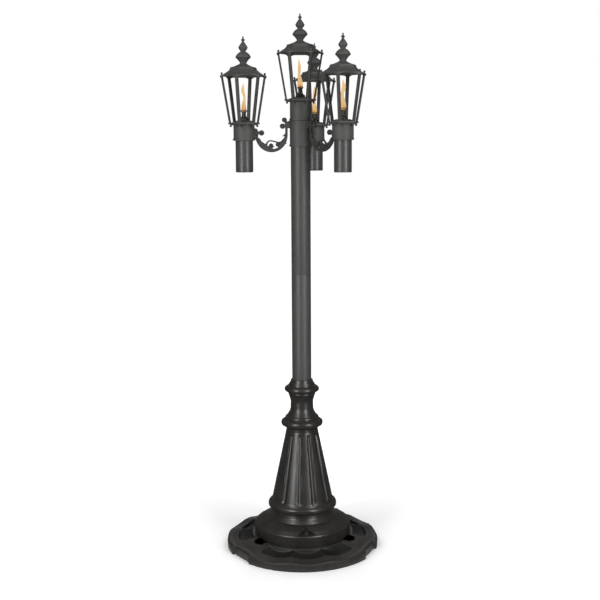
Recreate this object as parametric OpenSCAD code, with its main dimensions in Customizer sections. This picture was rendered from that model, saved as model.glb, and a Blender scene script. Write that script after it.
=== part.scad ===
// Citronella patio lamp: one oil lantern on top of a pole and three on scrolled arms round it,
// over a fluted pedestal with a scalloped foot. Millimetres, floor at z = 0, pole axis at the
// origin, camera side towards -Y.

/* [Foot] */
// Diameter of the foot casting
foot_d = 610; // [580:5:640]
// Height of the foot's rim above the floor
rim_h = 36; // [32:1:40]
// Height of the foot's raised deck, which carries the bell
deck_h = 52; // [48:1:58]
// Thickness of the foot's walls and of its deck
foot_wall = 8; // [6:0.5:9]
// Height of the casting's hollow under the scallops
foot_hollow_h = 17; // [12:1:18]
// Width of the wavy rim outside the scallops
rim_w = 44; // [36:1:50]
// Depth of the dished scallops between the deck and the rim
scallop_depth = 18; // [10:0.5:19]
// Width of a scallop's dish round the foot
scallop_w = 132; // [122:2:140]
// How far the rim dips at each scallop
rim_dip = 6; // [3:0.5:7]
// How far the three straight notches stand inside the foot's edge
notch_in = 14; // [8:1:18]
// Width of a straight notch along the foot's edge
notch_w = 108; // [80:2:120]
// Direction of the first of the three bell bolts, which the scallops are set out from
foot_phase = 35; // [0:5:60]

/* [Hold-down] */
// Diameter of the circle through the three hold-down holes
anchor_pcd = 418; // [414:1:424]
// Diameter of a hold-down hole
anchor_hole_d = 11; // [9:0.5:13]
// Width of the pocket round a hold-down hole
pocket_w = 56; // [40:1:60]
// Thickness of the pocket's floor over the hollow
pocket_floor = 9; // [6:0.5:12]

/* [Bell] */
// Diameter of the bell's skirt
skirt_d = 386; // [380:1:392]
// Height of the bell from the deck to its top face
bell_h = 91; // [86:1:98]
// Height of the straight band at the bell's edge
band_h = 41; // [36:1:44]
// Wall of the bell, the cone and the neck castings
cast_wall = 6; // [4:0.5:7]
// Diameter of the bell's top ring, under the cone
bell_ring_d = 240; // [234:1:246]
// Radius of the circle that the three bell bolts stand on
bell_bolt_r = 172; // [168:1:176]
// Thread diameter of the bell bolts
bell_bolt_d = 10; // [8:1:12]

/* [Fluted cone] */
// Height of the cone casting, bead and fluted part together
cone_h = 335; // [320:1:350]
// Diameter of the cone above its bead
cone_low_d = 243; // [236:1:250]
// Diameter at the cone's top
cone_top_d = 127; // [122:1:134]
// Diameter over the bead at the cone's foot
bead_d = 274; // [266:1:280]
// Height of the bead
bead_h = 54; // [50:1:58]
// Number of flutes
flute_count = 12; // [8:1:16]
// Depth of a flute
flute_depth = 5; // [3:0.5:5.5]
// Width of a flute at its lower end
flute_low_w = 23; // [18:1:26]
// Width of a flute at its upper end
flute_top_w = 18; // [14:1:20]

/* [Neck] */
// Height of the turned neck casting
neck_h = 206; // [198:1:214]
// Diameter over the neck's lower bead
neck_bead_d = 166; // [160:1:172]
// Diameter over the neck's upper bead
neck_top_bead_d = 137; // [132:1:142]
// Diameter at the neck's waist
neck_waist_d = 90; // [88:1:96]
// Diameter of the neck's top ring
neck_ring_d = 89; // [86:1:94]

/* [Pole] */
// Outside diameter of the pole tube
pole_d = 76.2; // [74:0.1:78]
// Wall of the pole tube
pole_wall = 2.5; // [2:0.1:3]
// Height of the joint between the two pole tubes
pole_joint_z = 1105; // [1000:5:1200]
// Length of the sleeve inside that joint
coupler_len = 120; // [80:5:160]
// Diameter of the flange under the pole
flange_d = 150; // [140:1:160]
// Thickness of the flange
flange_t = 8; // [6:0.5:10]
// Diameter of the flange's bolt circle
flange_pcd = 118; // [114:1:122]
// Thread diameter of the flange bolts
flange_bolt_d = 8; // [6:1:10]

/* [Hub and arms] */
// Height of the hub sleeve's lower edge
hub_z = 1600; // [1590:1:1610]
// Height of the hub sleeve
hub_h = 98; // [94:1:104]
// Outside diameter of the hub sleeve
sleeve_d = 82.5; // [81.5:0.1:84]
// Outside diameter of the lanterns' collars
collar_d = 80.8; // [80:0.1:83]
// Distance from the pole's axis to an arm lantern's axis
arm_reach = 222; // [215:1:235]
// Thickness of the scrolled arm castings
arm_t = 10; // [8:0.5:12]
// Width of the scroll's outer band
arm_band = 11; // [9:0.5:12]
// Width of the upright that carries the scroll
stem_w = 9.5; // [8:0.5:11]
// Radius of the round bosses on the arms
boss_r = 9; // [7:0.25:10]
// Direction of the rear arm; the others follow at a third of a turn
arm_phase = 75; // [60:5:90]

/* [Lanterns] */
// Height of the middle lantern's gallery plate
lantern_z = 1780; // [1772:1:1790]
// How far the arm lanterns stand below the middle one
arm_drop = 89; // [84:1:94]
// Distance from the lantern's axis to a corner of the gallery plate
gallery_r = 62; // [60:0.5:64]
// Thickness of the gallery plate
gallery_t = 10; // [8:0.5:12]
// Height of the raised boss in the middle of the gallery plate
boss_h = 8; // [5:0.5:9]
// Distance from the axis to a roof corner
roof_r = 89; // [88:0.5:92]
// Height of the posts from the gallery to the roof
post_h = 166; // [156:1:172]
// Width of a post round the lantern
post_w = 13; // [9:0.5:13.5]
// Depth of a post towards the lantern's axis
post_t = 6; // [5:0.5:7]
// Height of the roof from the posts to its neck
roof_h = 53; // [51:1:57]
// Wall of the roof
roof_wall = 4; // [3:0.5:5]
// Rise of the arches along the roof's lower edge
arch_rise = 7; // [4:0.5:9]
// Diameter of the small balls at the lantern's corners
ball_d = 9; // [7:0.5:10]
// Height of the finial above the roof
finial_h = 101; // [95:1:108]
// Diameter of the finial's lower bulb
finial_bulb_d = 60; // [56:1:66]
// Height of an arm collar
collar_h = 58; // [52:1:64]

/* [Burners] */
// Diameter of the oil canister
canister_d = 66.7; // [65:0.1:67.5]
// Height of the canister below the gallery plate
canister_h = 177; // [160:1:182]
// Wall of the canister
canister_wall = 1.2; // [0.8:0.1:1.6]
// Outside diameter of the canister's neck
mouth_d = 32; // [29:0.5:33]
// Height of the canister's neck above the gallery's boss
mouth_h = 4; // [3:0.5:5]
// Diameter of the burner cap's skirt
cap_d = 38; // [37.5:0.5:41]
// Height of the burner from the gallery plate to its flange
burner_h = 47; // [42:1:52]
// Diameter of the burner's top flange
burner_flange_d = 25; // [22:0.5:28]
// Diameter of the wick
wick_d = 10; // [8:0.5:11]
// Length of wick that stands above the burner
wick_out = 4; // [2:0.5:8]

/* [Fits] */
// Clearance all round a sliding or turning piece
slide_gap = 0.3; // [0.2:0.05:0.4]
// Clearance between castings that are fixed to each other
seat_gap = 0.1; // [0.05:0.05:0.2]

/* [Hidden] */
$fn = 96;
cut = 1;                                  // how far a cutter runs past the face it opens
charcoal = [0.20, 0.20, 0.20];
steel = [0.55, 0.55, 0.56];

foot_r = foot_d / 2;
skirt_r = skirt_d / 2;
pole_r = pole_d / 2;
pole_bore_r = pole_r - pole_wall;
sleeve_r = sleeve_d / 2;
collar_r = collar_d / 2;
sleeve_bore_r = pole_r + slide_gap;
bell_top_z = deck_h + bell_h;
cone_top_z = bell_top_z + cone_h;
neck_top_z = cone_top_z + neck_h;
deck_r = skirt_r + 10;
arm_z = lantern_z - arm_drop;
hub_top_z = hub_z + hub_h;
canister_r = canister_d / 2;
spigot_h = 20;                            // length of the gallery's spigot inside a collar
lip_h = 10;                               // height of the lip that the set screws pass through
screw_r = 2.5;
top_collar_z = hub_top_z + slide_gap;
collar_top = -gallery_t;                  // top of every collar, in lantern coordinates
pole_top_z = lantern_z + collar_top - spigot_h - 4;

function lerp(a, b, t) = a + (b - a) * t;
// Points along an arc round c, from angle a0 to a1
function arc(c, r, a0, a1, n = 8) =
    [for (i = [0:n]) let (a = lerp(a0, a1, i / n)) c + r * [cos(a), sin(a)]];
// Radius of the arc whose middle stands rise above a chord of half-width w
function arc_r(w, rise) = (w * w + rise * rise) / (2 * rise);

// Foot: a scalloped iron casting, hollow and ribbed underneath
deck_edge = 5;
rim_round = 8;
rim_land_r = foot_r - 20;
anchor_r = anchor_pcd / 2;
pocket_z = foot_hollow_h + pocket_floor;
foot_boss_r = flange_pcd / 2 - 1.1 * flange_bolt_d;
notch_x = foot_r - notch_in;
pan_in_r = deck_r + 2;
pan_out_r = foot_r - rim_w;
slope_a = atan((deck_h - rim_h) / (rim_land_r - deck_r));

module foot_outline() {
    polygon(concat([[0, 0], [foot_r, 0]],
        arc([foot_r - rim_round, rim_h - rim_round], rim_round, 0, 90),
        [[rim_land_r, rim_h]],
        arc([deck_r - deck_edge, deck_h - deck_edge], deck_edge, 45, 90, 4),
        [[0, deck_h]]));
}

module foot_hollow() {
    polygon([[foot_boss_r, -cut], [foot_boss_r, deck_h - foot_wall],
        [skirt_r - 30, deck_h - foot_wall], [skirt_r - 6, foot_hollow_h],
        [foot_r - foot_wall - 8, foot_hollow_h], [foot_r - foot_wall, foot_hollow_h - 8],
        [foot_r - foot_wall, -cut]]);
}

// A dish between the deck and the rim, and the dip that it brings to the rim
module scallop() {
    dish_r = arc_r(scallop_w / 2, scallop_depth);
    mid_r = (pan_in_r + pan_out_r) / 2;
    mid_z = deck_h - (mid_r - deck_r) * tan(slope_a);
    intersection() {
        translate([mid_r, 0, mid_z]) rotate([0, slope_a, 0]) translate([0, 0, dish_r - scallop_depth])
            sphere(dish_r);
        difference() {
            cylinder(h = 2 * deck_h, r = pan_out_r);
            translate([0, 0, -cut]) cylinder(h = 2 * deck_h + 2 * cut, r = pan_in_r);
        }
    }
    dip_r = arc_r(foot_r * sin(12), rim_dip);
    translate([pan_out_r - 3, 0, rim_h - rim_dip + dip_r]) rotate([0, 90, 0])
        cylinder(h = foot_r - pan_out_r + 10, r = dip_r);
}

// Pointed pocket over a hold-down hole
module anchor_pocket() {
    translate([0, 0, pocket_z]) linear_extrude(deck_h)
        polygon([[skirt_r - 14, -pocket_w / 2], [anchor_r + 8, -pocket_w / 2],
            [anchor_r + 20, 0], [anchor_r + 8, pocket_w / 2], [skirt_r - 14, pocket_w / 2]]);
}

module foot() {
    color(charcoal) difference() {
        union() {
            difference() {
                rotate_extrude() foot_outline();
                rotate_extrude() foot_hollow();
                for (i = [0:2], j = [-1:1]) rotate([0, 0, foot_phase + 120 * i + 30 * j]) scallop();
            }
            for (i = [0:11]) rotate([0, 0, foot_phase + 15 + 30 * i])
                translate([foot_boss_r - 2, -3, 0])
                    cube([foot_r - foot_boss_r - 2, 6, foot_hollow_h + 1]);
            for (i = [0:2]) rotate([0, 0, foot_phase + 60 + 120 * i]) {
                translate([anchor_r, 0, 0]) cylinder(h = foot_hollow_h + 1, r = anchor_hole_d + 3);
                translate([notch_x - foot_wall, -notch_w / 2 - foot_wall, 0])
                    cube([foot_wall, notch_w + 2 * foot_wall, foot_hollow_h + 1]);
            }
        }
        for (i = [0:2]) rotate([0, 0, foot_phase + 60 + 120 * i]) {
            anchor_pocket();
            translate([anchor_r, 0, -cut]) cylinder(h = deck_h, d = anchor_hole_d);
            translate([notch_x, -notch_w / 2, -cut]) cube([notch_in + cut, notch_w, deck_h]);
        }
        for (i = [0:2]) rotate([0, 0, foot_phase + 120 * i])
            translate([bell_bolt_r, 0, deck_h - foot_wall - cut])
                cylinder(h = foot_wall + 2 * cut, d = bell_bolt_d + 2 * slide_gap);
        for (i = [0:3]) rotate([0, 0, 45 + 90 * i])
            translate([flange_pcd / 2, 0, -cut])
                cylinder(h = deck_h + 2 * cut, d = flange_bolt_d + 2 * slide_gap);
    }
}

// Bell: thin iron cover with a straight band, a domed shoulder and a ring under the cone
step_h = 4;                               // height of the recess under the band
step_in = 5;                              // depth of that recess
band_round = 3;                           // slope at the band's upper edge
dome_r = 90;                              // radius of the shoulder's curve
dome_drop = 16;                           // how far the shoulder's top lies below the cone
ring_h = 14;                              // height of the ring under the cone
ring_round = 6;                           // radius of the ring's bulge
ring_in = 2;                              // how far the ring's top stands inside its bulge
dome_z = bell_top_z - dome_drop - dome_r;
dome_end_a = asin((deck_h + step_h + band_h + band_round - 1 - dome_z) / dome_r);
bolt_seat_z = deck_h + step_h + band_h;

module bell_outline(inset) {
    z0 = deck_h - (inset > 0 ? cut : 0);
    step_z = deck_h + step_h;
    band_z = step_z + band_h;
    ring_x = bell_ring_d / 2 - ring_round - inset;
    polygon(concat(
        [[0, z0], [skirt_r - step_in - inset, z0], [skirt_r - step_in - inset, step_z],
            [skirt_r - inset, step_z + inset], [skirt_r - inset, band_z - band_round - inset],
            [skirt_r - band_round - inset, band_z - inset / 2]],
        arc([bell_ring_d / 2 - ring_in, dome_z], dome_r - inset, dome_end_a, 88, 10),
        [[ring_x, bell_top_z - ring_h - inset]],
        arc([ring_x, bell_top_z - ring_h / 2 - inset], ring_round, -60, 60, 6),
        [[ring_x - ring_in, bell_top_z - inset], [0, bell_top_z - inset]]));
}

seat_half = 34;                           // half the width of a bolt's gabled seat
seat_peak = 22;                           // how far the gable's peak reaches in from the bolt
seat_slope = 9;                           // how far outside the bolt the gable's slopes end
seat_wall = 4;                            // wall of the casting round a seat
seat_in_r = bell_bolt_r - seat_peak - seat_wall;
seat_out = skirt_r - bell_bolt_r + seat_peak;

module bell_seat() {
    translate([bell_bolt_r, 0, bolt_seat_z]) linear_extrude(bell_h)
        polygon([[-seat_peak, 0], [seat_slope, -seat_half], [seat_out, -seat_half],
            [seat_out, seat_half], [seat_slope, seat_half]]);
}

module bell() {
    color(charcoal) difference() {
        union() {
            difference() {
                rotate_extrude() bell_outline(0);
                rotate_extrude() bell_outline(cast_wall);
            }
            for (i = [0:2]) rotate([0, 0, foot_phase + 120 * i]) {
                translate([bell_bolt_r, 0, deck_h]) cylinder(h = step_h + band_h, r = bell_bolt_d);
                intersection() {
                    translate([seat_in_r, -seat_half - seat_wall, bolt_seat_z - cast_wall])
                        cube([skirt_r - seat_in_r, 2 * (seat_half + seat_wall), bell_h / 2]);
                    rotate([0, 0, -foot_phase - 120 * i]) rotate_extrude() bell_outline(1);
                }
            }
        }
        translate([0, 0, deck_h - cut]) cylinder(h = bell_h + 2 * cut, r = sleeve_bore_r);
        for (i = [0:2]) rotate([0, 0, foot_phase + 120 * i]) {
            bell_seat();
            translate([bell_bolt_r, 0, deck_h - cut])
                cylinder(h = bell_h, d = bell_bolt_d + 2 * slide_gap);
        }
    }
}

module hex_bolt(d, grip, head_h) {
    translate([0, 0, -grip]) cylinder(h = grip, d = d);
    cylinder(h = 2, d = 2.4 * d);
    translate([0, 0, 2]) cylinder(h = head_h, r = 0.95 * d, $fn = 6);
}

module bell_bolts() {
    color(steel) for (i = [0:2]) rotate([0, 0, foot_phase + 120 * i])
        translate([bell_bolt_r, 0, bolt_seat_z])
            hex_bolt(bell_bolt_d, step_h + band_h + foot_wall, 0.7 * bell_bolt_d);
}

// Fluted cone: a bead at its foot and twelve round-ended flutes up its side
bead_top_z = bell_top_z + bead_h;
bead_c_z = bell_top_z + 0.45 * bead_h;
bead_r = arc_r(0.5 * bead_h, (bead_d - cone_low_d) / 2 - 1);
bead_c = [bead_d / 2 - bead_r, bead_c_z];
cone_slope = (cone_low_d - cone_top_d) / 2 / (cone_top_z - bead_top_z);
flute_margin = 10;

function cone_r(z) = cone_low_d / 2 - cone_slope * (z - bead_top_z);
function flute_r(w) = arc_r(w / 2, flute_depth);

module cone_outline() {
    polygon(concat([[0, bell_top_z]],
        arc(bead_c, bead_r, -asin((bead_c_z - bell_top_z) / bead_r),
            asin((bead_top_z - 3 - bead_c_z) / bead_r), 10),
        [[cone_low_d / 2, bead_top_z], [cone_top_d / 2, cone_top_z], [0, cone_top_z]]));
}

module cone_hollow() {
    wall = cast_wall + flute_depth;
    polygon([[0, bell_top_z + cast_wall], [cone_low_d / 2 - cast_wall, bell_top_z + cast_wall],
        [cone_low_d / 2 - wall, bead_top_z], [cone_top_d / 2 - wall, cone_top_z - cast_wall],
        [0, cone_top_z - cast_wall]]);
}

module flute() {
    z0 = bead_top_z + flute_low_w / 2 - 2;
    z1 = cone_top_z - flute_margin - flute_top_w / 2;
    r0 = flute_r(flute_low_w);
    r1 = flute_r(flute_top_w);
    x0 = cone_r(z0) + r0 - flute_depth;
    x1 = cone_r(z1) + r1 - flute_depth;
    length = norm([x1 - x0, z1 - z0]);
    translate([x0, 0, z0]) rotate([0, -atan((x0 - x1) / (z1 - z0)), 0]) rotate_extrude()
        polygon(concat(arc([0, 0], r0, -90, 0, 6), arc([0, length], r1, 0, 90, 6)));
}

module fluted_cone() {
    color(charcoal) difference() {
        rotate_extrude() cone_outline();
        rotate_extrude() cone_hollow();
        translate([0, 0, bell_top_z - cut]) cylinder(h = cone_h + 2 * cut, r = sleeve_bore_r);
        for (i = [0:flute_count - 1]) rotate([0, 0, foot_phase - 12.5 + 360 / flute_count * i]) flute();
    }
}

// Neck: a turned casting with a bead and its ridges at each end of a hollow waist
waist_r = 62;                             // radius of the waist's hollow curve

module neck_outline() {
    low_r = cone_top_d / 2;
    bead = neck_bead_d / 2;
    top_bead = neck_top_bead_d / 2;
    ring = neck_ring_d / 2;
    polygon(concat([[sleeve_bore_r, cone_top_z], [low_r, cone_top_z], [low_r, cone_top_z + 6],
            [low_r - 2, cone_top_z + 8], [low_r - 1.5, cone_top_z + 11], [bead - 15, cone_top_z + 13.5]],
        arc([bead - 15, cone_top_z + 29.5], 15, -60, 60, 8),
        [[bead - 14, cone_top_z + 46.5], [bead - 17, cone_top_z + 48], [bead - 16, cone_top_z + 51.5],
            [bead - 17.5, cone_top_z + 56]],
        arc([neck_waist_d / 2 + waist_r, cone_top_z + 100], waist_r, 224, 158, 12),
        [[top_bead - 15, neck_top_z - 60], [top_bead - 14, neck_top_z - 57],
            [top_bead - 15, neck_top_z - 54], [top_bead - 14, neck_top_z - 51]],
        arc([top_bead - 9.5, neck_top_z - 40.5], 9.5, -75, 60, 8),
        [[ring + 8.5, neck_top_z - 25.5], [ring + 8, neck_top_z - 22]],
        arc([ring - 1, neck_top_z - 18], 9, 0, 60, 4),
        [[ring, neck_top_z - 7], [ring - 1, neck_top_z - 0.5],
            [sleeve_bore_r + 1, neck_top_z], [sleeve_bore_r, neck_top_z - 1]]));
}

module neck() {
    color(charcoal) rotate_extrude() neck_outline();
}

// Pole: two tubes over an inner sleeve, on a bolted flange
flange_z = deck_h;
socket_h = 40;

module pole_flange() {
    color(charcoal) difference() {
        union() {
            translate([0, 0, flange_z]) cylinder(h = flange_t, d = flange_d);
            translate([0, 0, flange_z]) cylinder(h = socket_h, r = sleeve_bore_r + 4);
        }
        translate([0, 0, flange_z + flange_t]) cylinder(h = socket_h, r = pole_r + seat_gap);
        for (i = [0:3]) rotate([0, 0, 45 + 90 * i])
            translate([flange_pcd / 2, 0, flange_z - cut])
                cylinder(h = flange_t + 2 * cut, d = flange_bolt_d + 2 * slide_gap);
    }
}

module flange_bolts() {
    color(steel) for (i = [0:3]) rotate([0, 0, 45 + 90 * i])
        translate([flange_pcd / 2, 0, flange_z + flange_t])
            hex_bolt(flange_bolt_d, flange_t + foot_wall + flange_bolt_d + 4, 0.65 * flange_bolt_d);
}

module flange_nuts() {
    nut_h = 0.8 * flange_bolt_d;
    color(steel) for (i = [0:3]) rotate([0, 0, 45 + 90 * i])
        translate([flange_pcd / 2, 0, deck_h - foot_wall - nut_h]) difference() {
            cylinder(h = nut_h, r = 0.95 * flange_bolt_d, $fn = 6);
            translate([0, 0, -cut]) cylinder(h = nut_h + 2 * cut, d = flange_bolt_d + 2 * seat_gap);
        }
}

module tube(z0, z1, r_out, r_in) {
    translate([0, 0, z0]) difference() {
        cylinder(h = z1 - z0, r = r_out);
        translate([0, 0, -cut]) cylinder(h = z1 - z0 + 2 * cut, r = r_in);
    }
}

module lower_pole() {
    color(charcoal) tube(flange_z + flange_t, pole_joint_z, pole_r, pole_bore_r);
}

module pole_coupler() {
    color(steel) tube(pole_joint_z - coupler_len / 2, pole_joint_z + coupler_len / 2,
        pole_bore_r - seat_gap, pole_bore_r - seat_gap - pole_wall);
}

module upper_pole() {
    color(charcoal) tube(pole_joint_z, pole_top_z, pole_r, pole_bore_r);
}

// Set screw: a plain shank with a domed head, along +X
module set_screw(r_in, r_out) {
    rotate([0, 90, 0]) {
        translate([0, 0, r_in]) cylinder(h = r_out - r_in, r = screw_r);
        translate([0, 0, r_out]) cylinder(h = 3.5, r1 = screw_r + 1.5, r2 = screw_r + 0.5);
    }
}

screw_angles = [arm_phase + 120, arm_phase + 300];

module screws_at(z, r_in, r_out) {
    for (a = screw_angles) translate([0, 0, z]) rotate([0, 0, a]) set_screw(r_in, r_out);
}

module screw_holes_at(z, r_in, r_out) {
    for (a = screw_angles) translate([0, 0, z]) rotate([0, 0, a]) rotate([0, 90, 0])
        translate([0, 0, r_in]) cylinder(h = r_out - r_in, r = screw_r + seat_gap);
}

// Collar on the pole's end, which the middle lantern stands in
module top_collar() {
    color(charcoal) difference() {
        tube(top_collar_z, lantern_z + collar_top, collar_r, sleeve_bore_r);
        screw_holes_at(top_collar_z + lip_h / 2, sleeve_bore_r - cut, collar_r + cut);
    }
}

module top_collar_screws() {
    color(steel) screws_at(top_collar_z + lip_h / 2, pole_r + seat_gap, collar_r);
}

// Hub: the sleeve that carries the three arms and can be turned on the pole
module hub_sleeve() {
    color(charcoal) difference() {
        tube(hub_z, hub_top_z, sleeve_r, sleeve_bore_r);
        screw_holes_at(hub_z + lip_h / 2, sleeve_bore_r - cut, sleeve_r + cut);
    }
}

module hub_screws() {
    color(steel) screws_at(hub_z + lip_h / 2, pole_r + slide_gap, sleeve_r);
}

// Scrolled arm: a flat pierced casting, drawn with its arc's centre at the origin in units of
// a 63.5 mm arc and scaled to the room between the hub and the collar
arc_unit = 63.5;
pad_gap = 10;
collar_gap = 3;
arc_out = (arm_reach - sleeve_r - collar_r - pad_gap - collar_gap) / 2;
arc_x = sleeve_r + pad_gap + arc_out;
arc_z = arm_z - 47.5;
arm_k = arc_out / arc_unit;

module ring_part(c, r_out, r_in, a0, a1) {
    polygon(concat(arc(c, r_out, a0, a1, 24), arc(c, r_in, a1, a0, 24)));
}

// Smooth run of points through [x, z, half width] ones, with k steps between two of them
function run_through(p, k = 3) = [for (i = [0:len(p) - 2])
    let (a = p[max(i - 1, 0)], b = p[i], c = p[i + 1], d = p[min(i + 2, len(p) - 1)])
    for (j = [0:k - 1]) let (t = j / k)
        b + (c - a) * t / 2 + (a - 2.5 * b + 2 * c - d / 2) * t * t
            + (3 * b - a - 3 * c + d) * t * t * t / 2,
    p[len(p) - 1]];

// Bar that follows such points, round at both ends
module bar(points) {
    p = run_through(points);
    n = len(p) - 1;
    way = [for (i = [0:n]) let (d = p[min(i + 1, n)] - p[max(i - 1, 0)]) atan2(d[1], d[0])];
    polygon(concat(
        [for (i = [0:n]) [p[i][0], p[i][1]] + p[i][2] * [-sin(way[i]), cos(way[i])]],
        [for (a = [60:-30:-60]) [p[n][0], p[n][1]] + p[n][2] * [cos(way[n] + a), sin(way[n] + a)]],
        [for (i = [n:-1:0]) [p[i][0], p[i][1]] - p[i][2] * [-sin(way[i]), cos(way[i])]],
        [for (a = [-120:-30:-240]) [p[0][0], p[0][1]] + p[0][2] * [cos(way[0] + a), sin(way[0] + a)]]));
}

buds = [[-23, -34.6, 6.6], [2.1, -38.6, 8]];

module scroll_outline() {
    ring_part([0, 0], arc_unit, arc_unit - arm_band, 180, 360);
    // Leaf that fills the left of the arc, its point inside and its barb outside
    bar([[-57, -4, 5], [-54, -14, 6.5], [-46, -24, 8], [-38, -33, 7.5], [-30, -42, 6]]);
    bar([[-56, 1, 3.5], [-49.5, -1.2, 2.4], [-42, -2.8, 0.8]]);
    bar([[-54, -27, 3.5], [-59, -32.6, 0.9]]);
    // Slender tendril over the buds
    bar([[-47, -23, 4.6], [-39, -25.6, 3.6], [-26.4, -27.4, 2.8], [-13, -23.8, 2.6], [2.8, -20.7, 2.6],
        [12.5, -23, 2.7], [18.6, -30, 3], [21, -38, 4.8], [20, -48, 7]]);
    // Stalks and side leaves of the two buds
    bar([[-26.5, -29, 4], [-23.2, -34.6, 5.6], [-20.5, -37.5, 4.5]]);
    bar([[-20, -38.5, 3.2], [-27, -41, 3.4], [-36, -39.5, 5]]);
    bar([[2, -39, 6.4], [2.2, -48, 6.2], [3.5, -56, 7]]);
    bar([[2, -47, 3.4], [-6, -43.5, 2.2], [-10.8, -41.8, 0.8]]);
    bar([[2, -47, 3.4], [9.6, -43, 1.8], [12.5, -40.4, 0.8]]);
    // Leaf that fills the right of the arc, with its upright point, and the one behind it
    bar([[36.5, -25.4, 0.8], [33.5, -31, 4], [29, -39, 8], [20, -47, 8], [8, -53, 6]]);
    bar([[51, -12, 3.6], [47, -19, 4.4], [41, -29, 5], [34, -38, 6]]);
}

// Round boss with a raised button, through the arm's thickness
module boss(p, r) {
    translate([p[0], 0, p[1]]) rotate([90, 0, 0]) rotate_extrude()
        polygon(concat([[0, -arm_t / 2 - 3]], arc([0.3 * r, -arm_t / 2 - 1], 2, -90, 0, 4),
            arc([r - 1.5, -arm_t / 2], 1.5, -90, 0, 4), arc([r - 1.5, arm_t / 2], 1.5, 0, 90, 4),
            arc([0.3 * r, arm_t / 2 + 1], 2, 0, 90, 4), [[0, arm_t / 2 + 3]]));
}

module plate(p) {
    rotate([90, 0, 0]) linear_extrude(arm_t, center = true) polygon(p);
}

module arm() {
    x = sleeve_r + pad_gap;
    pad_top = hub_top_z - 6;
    c_low = arc_z + 8;
    difference() {
        union() {
            translate([arc_x, 0, arc_z]) rotate([90, 0, 0])
                linear_extrude(arm_t, center = true) scale([arm_k, arm_k]) scroll_outline();
            // Upright
            plate([[x, arc_z - 1], [x + stem_w, arc_z - 1], [x + stem_w, pad_top], [x, pad_top]]);
            // Pad against the hub
            plate([[sleeve_r - 4, pad_top - 27], [x + 1, pad_top - 27], [x + 1, pad_top],
                [sleeve_r, pad_top + 6], [sleeve_r - 4, pad_top + 6]]);
            // Link to the lantern's collar
            plate([[arm_reach - collar_r - 22, c_low - 6], [arm_reach - collar_r - 8, c_low - 9],
                [arm_reach - collar_r + 4, c_low - 20], [arm_reach - collar_r + 4, c_low + 14],
                [arm_reach - collar_r - 12, c_low + 14], [arm_reach - collar_r - 16, c_low + 6],
                [arm_reach - collar_r - 22, c_low + 6]]);
            for (b = buds) boss([arc_x + arm_k * b[0], arc_z + arm_k * b[1]], arm_k * b[2]);
            // Curl at the head of the upright
            plate([[x + 1, pad_top - 4], [x + stem_w, pad_top - 4], [x + stem_w + 8, pad_top + 2],
                [x + 12, pad_top + 12], [x + 3, pad_top + 10]]);
            boss([x + 12.5, pad_top + 9.5], boss_r);
            boss([x + stem_w + boss_r + 1, pad_top - 14], boss_r + 0.5);
            boss([arm_reach - collar_r - 27, c_low], boss_r + 0.5);
            plate([[x + 2, pad_top - 20], [x + stem_w + 8, pad_top - 20],
                [x + stem_w + 8, pad_top - 8], [x + 2, pad_top - 8]]);
        }
        translate([0, 0, hub_z - 60]) cylinder(h = hub_h + 120, r = sleeve_r + seat_gap);
        translate([arm_reach, 0, hub_z - 60]) cylinder(h = hub_h + 120, r = collar_r + seat_gap);
    }
}

module arm_at(i) {
    color(charcoal) rotate([0, 0, arm_phase + 120 * i]) arm();
}

// Where each lantern stands: 0 on the pole, 1 left, 2 right, 3 rear
lantern_a = [arm_phase + 120, arm_phase + 120, arm_phase + 240, arm_phase];
function lantern_pos(i) = i == 0 ? [0, 0, lantern_z]
    : [arm_reach * cos(lantern_a[i]), arm_reach * sin(lantern_a[i]), arm_z];
lantern_turn = [0, arm_phase, arm_phase, arm_phase];

module at_lantern(i) {
    translate(lantern_pos(i)) rotate([0, 0, lantern_turn[i]]) children();
}

// Arm collar: a sleeve with a lip at its foot that steadies the canister
lip_r = canister_r + slide_gap + 0.2;

module collar_at(i) {
    color(charcoal) translate(lantern_pos(i)) difference() {
        union() {
            tube(collar_top - collar_h, collar_top, collar_r, sleeve_bore_r);
            tube(collar_top - collar_h, collar_top - collar_h + lip_h, collar_r - 0.5, lip_r);
        }
        screw_holes_at(collar_top - collar_h + lip_h / 2, lip_r - cut, collar_r + cut);
    }
}

module collar_screws_at(i) {
    color(steel) translate(lantern_pos(i))
        screws_at(collar_top - collar_h + lip_h / 2, lip_r + seat_gap, collar_r);
}

// Six-sided solid whose faces all follow one outline of [distance to the face, height] points
module six_sided(points) {
    outline = concat(points, [for (i = [len(points) - 1:-1:0]) [-points[i][0], points[i][1]]]);
    half = 2 * max([for (p = points) p[0]]);
    intersection_for(i = [0:2]) rotate([90, 0, 30 + 60 * i])
        linear_extrude(2 * half, center = true) polygon(outline);
}

hex_k = cos(30);

module at_corners(r, z) {
    for (i = [0:5]) rotate([0, 0, 60 * i]) translate([r, 0, z]) children();
}

// Gallery: the moulded plate under a lantern, with a spigot that drops into its collar
spigot_r = sleeve_bore_r - slide_gap;
drop_r = gallery_r - 10.5;

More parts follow.
